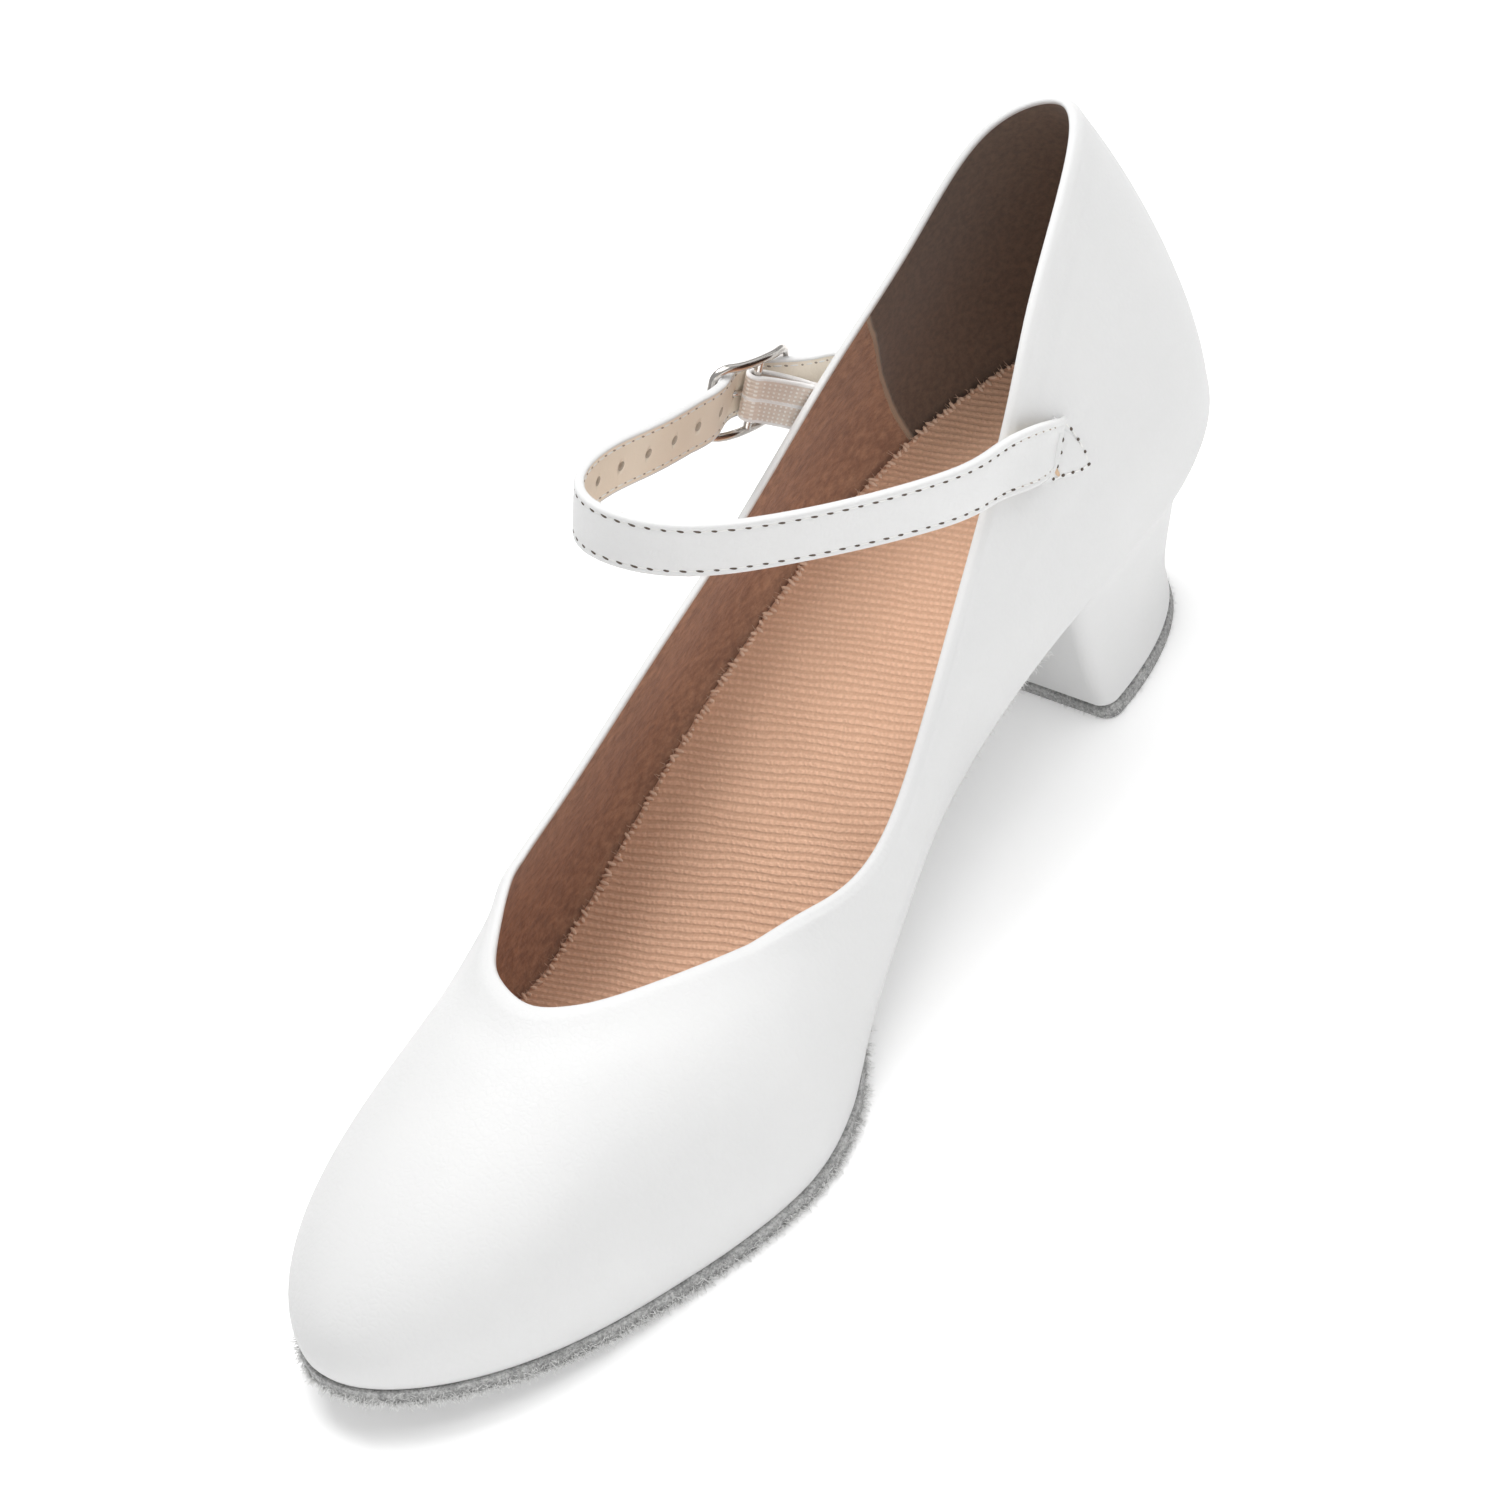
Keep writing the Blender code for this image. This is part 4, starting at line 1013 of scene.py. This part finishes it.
def strapPath():
    centres, edges = strapLine(np.linspace(0, strap["endRow"], 230))
    travel = travelled(centres)
    travel -= travel[-1]
    tail = np.linspace(0, strap["tail"], 46)[1:]
    droop = np.outer((tail / strap["tail"]) ** 2, (0, 0, -0.08 * strap["tail"]))
    centres = np.vstack([centres, buckleMiddle + np.outer(tail, buckleRun) + droop])
    edges = np.vstack([edges, np.repeat([buckleEdge], len(tail), axis=0)])
    travel = np.concatenate([travel, tail])
    weaveAt = np.array([-2.0, -1.0, 0.0, 1.0, 2.0, 3.2]) * buckle["reach"]
    levels = [0] + [strap[key] for key in ("underFront", "overBar", "underRear", "tailLevel", "tailLevel")]
    lift = curveThrough(weaveAt, levels, travel)[:, 0] * (travel > weaveAt[0])
    centres = centres + np.outer(lift, buckleOut)
    # a few more sections pass under the flag
    back, beyond = unit(centres[0] - centres[3]), np.linspace(0.0055, 0.0005, 11)
    centres = np.vstack([centres[0] + np.outer(beyond, back), centres])
    edges = np.vstack([np.repeat(edges[:1], len(beyond), axis=0), edges])
    travel = np.concatenate([travel[0] - beyond, travel])
    direction = unit(np.gradient(centres, axis=0))
    edges = unit(edges - direction * np.sum(edges * direction, axis=1, keepdims=True))
    out = np.cross(direction, edges)
    return centres, edges, travel, out if out[len(out) // 2][2] > 0 else -out


# inset from the edge in mm, height as a share of half the thickness, for the outer and the inner face
strapSection = {
    "outer": [(0.0, 0.15), (0.06, 0.62), (0.3, 0.95), (0.7, 1.04), (1.02, 0.92), (1.25, 0.80), (1.48, 0.92),
              (2.0, 1.04), (3.4, 1.06), (5.3, 1.06)],
    "inner": [(0.05, -0.45), (0.2, -0.85), (0.42, -0.93), (0.54, -0.86), (1.15, -0.80), (1.6, -0.86), (3.4, -0.90),
              (5.3, -0.90)],
}


def pastSlit(points):   # how far behind the slit's lip a point lies, and the way out of the wall there
    top, foot = wallPoint(2.58, 0.730), wallPoint(2.92, 0.690)
    away = unit(top[1] + foot[1])
    behind = facing(unit(np.cross(foot[0] - top[0], away)), (0, -1, 0))
    return (points - top[0]) @ behind, away


slitPatch = wallGrid(np.linspace(1.7, 3.8, 85), np.linspace(0.35, 1.0, 66))
slitNormals = gridNormals(slitPatch, ring=False)
slitPatch, slitNormals = slitPatch[1:-1].reshape(-1, 3), slitNormals[1:-1].reshape(-1, 3)


def dive(centre, offset, height):   # the strap narrows, thins and sinks where it passes into the slit
    past, away = pastSlit(centre + offset)
    narrow = 1 - 0.12 * ease(past, -0.006, 0.0)
    thin = 1 - 0.2 * ease(past, -0.002, 0.0005)
    points = centre + offset * narrow[:, None] + height * thin[:, None]
    innerSide = centre[:, 0] > strap["innerSide"]
    hang = strap["hang"] * np.clip(-offset[:, 2] / 0.004, 0, 1) * ease(past, -0.014, -0.006)
    hang *= (1 - ease(past, -0.0022, 0.0)) * innerSide
    points += away * hang[:, None]   # the lower edge stands off the wall
    for i in np.flatnonzero((past > -0.0055) & innerSide):
        middle = centre[i] + offset[i] * narrow[i]
        k = np.argmin(np.sum((slitPatch - middle) ** 2, axis=1))
        above = (middle - slitPatch[k]) @ slitNormals[k]
        share = ease(past[i], -0.0050, -0.0005)
        target = above * (1 - share) + 0.0010 * share - 0.0020 * ease(past[i], 0.0001, 0.0022)
        points[i] -= slitNormals[k] * (above - target)
    return points


def makeStrap():
    centres, edges, travel, out = strapPath()
    tip = np.clip((travel - strap["tail"] + strap["width"] / 2) / (strap["width"] / 2), 0, 0.985)
    half = strap["width"] / 2 * np.sqrt(1 - tip ** 2)
    outerSide, innerSide = strapSection["outer"], strapSection["inner"]
    section = [(1, *p) for p in outerSide] + [(-1, *p) for p in outerSide[-2::-1]]
    section += [(-1, *p) for p in innerSide] + [(1, *p) for p in innerSide[-2::-1]]
    count = len(section)
    sides, insets, heights = np.array(section).T
    across = half[:, None] * sides * (1 - insets / outerSide[-1][0])
    uvs = np.stack([np.repeat(travel, count), across.ravel()], 1)
    points = dive(np.repeat(centres, count, axis=0), np.repeat(edges, count, axis=0) * across.reshape(-1, 1),
                  np.repeat(out, count, axis=0) * np.tile(heights, len(centres))[:, None] * strap["thick"] / 2)
    firstLining = 2 * len(outerSide) + 2
    liningSpan = range(firstLining, firstLining + 2 * (len(innerSide) - 4))
    slots = [1 if k in liningSpan else 0 for k in range(count)] * (len(centres) - 1) + [0, 0]
    materials = [strapLeather, strapLining, rawEdge]
    piece = makePiece("strapBand", points, sleeveFaces(len(centres), count), materials, slots, uvs, sharp=70)
    return piece, centres, edges, travel, out


def peg(start, end, radius, sides):
    along = unit(end - start)
    beside = unit(np.cross(along, (0.3, 0.2, 0.9)))
    turns = np.arange(sides) * 2 * math.pi / sides
    ring = (np.outer(np.cos(turns), beside) + np.outer(np.sin(turns), np.cross(along, beside))) * radius
    return np.vstack([start + ring, end + ring])


def cutHole(piece, points, faces):
    cutter = makePiece("holeCutter", points, faces, list(piece.data.materials), [2] * len(faces))
    modifier = piece.modifiers.new("hole", "BOOLEAN")
    modifier.operation, modifier.solver, modifier.object = "DIFFERENCE", "EXACT", cutter
    settle(piece)
    bpy.data.objects.remove(cutter)


strapPiece, strapCentres, strapEdges, strapTravel, strapOut = makeStrap()
for number in range(-strap["holes"], 2):   # the prong is in hole 0
    at = strap["crossing"] + strap["holePitch"] * number
    centre, away = (readAt([at], strapTravel, line)[0] for line in (strapCentres, strapOut))
    away = unit(away) * 0.003
    radius = strap["holeWidth"] / 2 * (0.8 if number == 0 else 1)
    cutHole(strapPiece, peg(centre - away, centre + away, radius, 20), sleeveFaces(2, 20))
finish(strapPiece, "strap_leather", "strap")


def stitchPlaces():   # the stitches are short beside the slit and longer along the strap
    at, places = strapTravel[0] + 0.0065, []
    while at < strap["tail"] - 0.0052:
        places.append(at)
        at += strap["stitchPitch"] * (0.66 + 0.34 * ease(at - strapTravel[0], 0.006, 0.026))
    return np.array(places)


def stitchLine(side, face):
    at = stitchPlaces()
    centre, edge, out = (readAt(at, strapTravel, line) for line in (strapCentres, strapEdges, strapOut))
    out = unit(out) * face
    height = strap["thick"] / 2 * (0.80 if face > 0 else 0.78)
    points = dive(centre, unit(edge) * side * (strap["width"] / 2 - strap["stitchInset"]), out * height)
    return points, np.gradient(points, axis=0), out, at


stitchKinds = {   # material, length, width and height, spread of the length, height over the strap
    # the needle holes and fine holes are dark marks on the strap: painted shade of the stitch holes
    "needleHoleShades": (needleHoleShade, (0.0013, 0.00056, 0.00026), 0.2, 0.00004),
    "fineHoleShades": (faintHoleShade, (0.0008, 0.00036, 0.0002), 0.3, 0.00003),
    "thread": (whiteThread, (0.0019, 0.00036, 0.0003), 0.1, 0.00001),
}
for face, label in ((1, "Outer"), (-1, "Inner")):
    for side, edgeName in ((1, "Upper"), (-1, "Lower")):
        points, runs, outs, at = stitchLine(side, face)
        bold = (at > strapTravel[0] + 0.018) & (face > 0)
        marks = runs + np.cross(outs, runs) * 0.25
        reach = points[1:] - points[:-1]
        rows = [("fineHoleShades", label, points[~bold], marks[~bold], outs[~bold]),
                ("thread", label, points[:-1] + reach / 2, reach, outs[:-1])]
        if face > 0:
            rows.insert(0, ("needleHoleShades", "", points[bold], marks[bold], outs[bold]))
        for kind, word, spots, ways, ups in rows:
            material, size, spread, lift = stitchKinds[kind]
            scatter(kind + word + edgeName, stitchTree, spots + ups * lift, ways, ups, material, "strap_leather",
                    size, spread)
print("strap done")


# elastic, buckle and prong

def makeElastic():
    bar = buckleMiddle + buckleOut * barOut
    slit, offWall, up = wallPoint(elastic["slitRow"], elastic["slitLevel"])
    toSlit = unit((slit - bar) - buckleEdge * np.dot(slit - bar, buckleEdge))
    beside = facing(np.cross(toSlit, buckleEdge), buckleOut)
    wrap = (buckle["wire"] + elastic["thick"]) / 2 + shoe["gap"]
    turns = np.radians(np.linspace(-80, -280, 22))
    around = bar + (np.outer(np.cos(turns), toSlit) + np.outer(np.sin(turns), beside)) * wrap
    under = slit - offWall * 0.0006
    over = under + offWall * (elastic["thick"] + shoe["gap"])
    shares = np.linspace(0, 0.93, 22)
    bow = np.outer(np.sin(shares * math.pi), offWall)
    go = under + (around[0] - under) * shares[:, None] + bow * 0.0004
    back = over + (around[-1] - over) * shares[::-1, None] + bow[::-1] * 0.0011
    centres = np.vstack([go, around, back])
    lean = facing(unit(np.cross(offWall, slit - bar)), buckleEdge)
    turned = np.concatenate([shares, np.ones(len(around)), shares[::-1]])[:, None]
    edges = unit(lean * (1 - turned) + buckleEdge * turned)
    faceOut = unit(np.cross(np.gradient(centres, axis=0), edges))
    half = [(1, 0.0, 0.3), (1, 0.25, 1.0), (1, 0.8, 0.92), (0, 4.4, 0.95), (-1, 0.8, 0.92), (-1, 0.25, 1.0),
            (-1, 0.0, 0.3)]
    section = half + [(-side, inset, -height) for side, inset, height in half]
    points, uvs = [], []
    for centre, edge, out, travel in zip(centres, edges, faceOut, travelled(centres)):
        for side, inset, height in section:   # inset from the edge in mm, share of half the thickness
            across = side * (elastic["width"] / 2 - inset / 1000)
            points.append(centre + edge * across + out * height * elastic["thick"] / 2)
            uvs.append((travel, across))
    faces = sleeveFaces(len(centres), len(section))
    return makePiece("elasticBand", points, faces, [elasticWeb], None, uvs, sharp=60)


def tube(path, radius, sides=18, closed=False):
    run = unit(np.roll(path, -1, axis=0) - np.roll(path, 1, axis=0)) if closed else unit(np.gradient(path, axis=0))
    plane = unit(np.cross(path[1] - path[0], path[len(path) // 2] - path[0]))
    beside = unit(np.cross(run, plane))
    turns = (np.arange(sides) * 2 * math.pi / sides)[None, :, None]
    circle = beside[:, None] * np.cos(turns) + np.cross(beside, run)[:, None] * np.sin(turns)
    points = path[:, None] + circle * radius
    faces = sleeveFaces(len(path), sides)
    if closed:
        faces = faces[:-2] + bandFaces((len(path) - 1) * sides, 0, sides)
    return points.reshape(-1, 3), faces


def makeBuckle():
    halfWidth = strap["width"] / 2 + 2 * shoe["gap"] + buckle["wire"] / 2
    corner, outline = buckle["corner"], []
    for acrossSign, runSign, start in ((1, 1, 0), (1, -1, 90), (-1, -1, 180), (-1, 1, 270)):
        for turn in np.radians(start + np.linspace(0, 90, 12)):
            outline.append((runSign * (buckle["reach"] - corner) + corner * math.cos(turn),
                            acrossSign * (halfWidth - corner) + corner * math.sin(turn)))
        if start in (0, 180):
            for share in np.linspace(0, 1, 18)[1:-1]:
                outline.append((runSign * (1 - 2 * share) * (buckle["reach"] - corner), acrossSign * halfWidth))
    along, across = np.array(outline).T
    shares, levels = np.array(buckle["bow"]).T
    height = curveThrough(shares, levels, along / buckle["reach"])[:, 0]
    path = buckleMiddle + np.outer(along, buckleRun) + np.outer(across, buckleEdge) + np.outer(height, buckleOut)
    points, faces = tube(path, buckle["wire"] / 2, closed=True)
    bar, end = buckleMiddle + buckleOut * barOut, buckleEdge * halfWidth
    faces += [tuple(i + len(points) for i in face) for face in sleeveFaces(2, 18)]
    points = np.vstack([points, peg(bar - end, bar + end, buckle["wire"] / 2 * 0.95, 18)])
    return makePiece("buckleFrame", points, faces, [nickelPlate], sharp=50)


def makeProng():
    wire = shoe["gap"] + buckle["prong"] / 2
    eye = buckle["wire"] / 2 + wire
    hook = [(eye * math.cos(turn), barOut + eye * math.sin(turn)) for turn in np.radians(np.linspace(-35, 80, 7))]
    overStrap = strap["overBar"] + strap["thick"] / 2 + wire
    overEnd = frontOut + buckle["wire"] / 2 + wire
    cross = strap["crossing"]
    shank = [(cross * 0.45, barOut + eye + 0.0004), (cross, strap["overBar"] - 0.0004),
             (cross * 1.55, overStrap - 0.0003), (cross * 2.3, overStrap), (-buckle["reach"], overEnd),
             (-buckle["reach"] - buckle["wire"] * 0.9, overEnd - 0.0003)]
    path = hook + shank
    along, height = curveThrough(np.arange(len(path)), path, np.linspace(0, len(path) - 1, 70)).T
    path = buckleMiddle + np.outer(along, buckleRun) + np.outer(height, buckleOut)
    return makePiece("prongWire", *tube(path, buckle["prong"] / 2, 14), [nickelPlate], sharp=50)


finish(makeElastic(), "elastic_web", "elastic")
finish(makeBuckle(), "nickel", "buckle")
finish(makeProng(), "prong_nickel", "prong")
print("buckle done")


# floor, light and camera

studio = {
    "world": 0.39,
    "aim": (0, -0.08, 0.03),
    "lights": [   # name, place, size, power
        ("keyPanel", (-0.55, 0.35, 1.65), 1.2, 24.0),
        ("fillPanel", (0.9, 0.3, 1.9), 1.4, 13.0),
        ("lowPanel", (0.75, -1.3, 0.26), 0.9, 5.0),
        ("backPanel", (0.2, 1.6, 1.0), 1.4, 2.5),
    ],
    "glow": 0.12, "glowSeen": 0.15,   # of the floor, and its share that only softens the shoe's own shadow
}


def makeFloor():   # pale paper on a table that is lit from below
    mesh = bpy.data.meshes.new("paleFloor")
    mesh.from_pydata([(-3, -3, 0), (3, -3, 0), (3, 3, 0), (-3, 3, 0)], [], [(0, 1, 2, 3)])
    board = newMaterial("palePaper", 0.95, Specular_IOR_Level=0.1, Emission_Color=(1, 1, 1, 1))
    board.paint(board.noise(board.coords(), 3.0), (0.93, 0.93, 0.93), (0.95, 0.95, 0.95))
    seen = board.add("ShaderNodeLightPath").outputs["Is Camera Ray"]
    board.give(board.shader["Emission Strength"], board.total((seen, studio["glowSeen"]), studio["glow"]))
    mesh.materials.append(board.material)
    addObject("paleFloor", mesh)


makeFloor()
world = bpy.data.worlds.new("studioWhite")
world.use_nodes = True
world.node_tree.nodes["Background"].inputs["Color"].default_value = (1, 1, 1, 1)
world.node_tree.nodes["Background"].inputs["Strength"].default_value = studio["world"]
bpy.context.scene.world = world
for name, place, size, power in studio["lights"]:
    lamp = bpy.data.lights.new(name, "AREA")
    lamp.size, lamp.energy = size, power
    item = addObject(name, lamp)
    item.location = place
    item.rotation_euler = (Vector(studio["aim"]) - Vector(place)).to_track_quat("-Z", "Y").to_euler()
bpy.context.scene.view_settings.view_transform = "Standard"

view = {   # angles in degrees, distance in metres, focal length and offset in pixels of the photograph
    "azimuth": 52.715, "elevation": 41.150, "roll": 20.764, "distance": 3.2572, "focal": 19082.0,
    "offset": (-30.44, 107.22), "target": (0.0, 0.130, 0.030), "pixels": 1500,
}


def aimCamera():
    az, el, ro = (math.radians(view[key]) for key in ("azimuth", "elevation", "roll"))
    back = np.array([math.sin(az) * math.cos(el), math.cos(az) * math.cos(el), math.sin(el)])
    right = np.array([math.cos(az), -math.sin(az), 0.0])
    up = np.array([-math.sin(el) * math.sin(az), -math.sin(el) * math.cos(az), math.cos(el)])
    camRight = math.cos(ro) * right - math.sin(ro) * up
    camUp = math.sin(ro) * right + math.cos(ro) * up
    perPixel = view["distance"] / view["focal"]
    aim = np.array(view["target"]) + (camUp * view["offset"][1] - camRight * view["offset"][0]) * perPixel
    place, aim = toWorld([np.array(view["target"]) + back * view["distance"], aim])
    away = unit(place - aim)
    camRight = turnToWorld(camRight)[0]
    camRight = unit(camRight - away * np.dot(camRight, away))
    camera = bpy.data.cameras.new("photoCamera")
    camera.lens = view["focal"] / view["pixels"] * camera.sensor_width
    camera.clip_end = 20
    item = addObject("photoCamera", camera)
    axes = Matrix((camRight, np.cross(away, camRight), away)).transposed().to_4x4()
    item.matrix_world = Matrix.Translation(Vector(place)) @ axes
    bpy.context.scene.camera = item


aimCamera()
print("light and camera done")
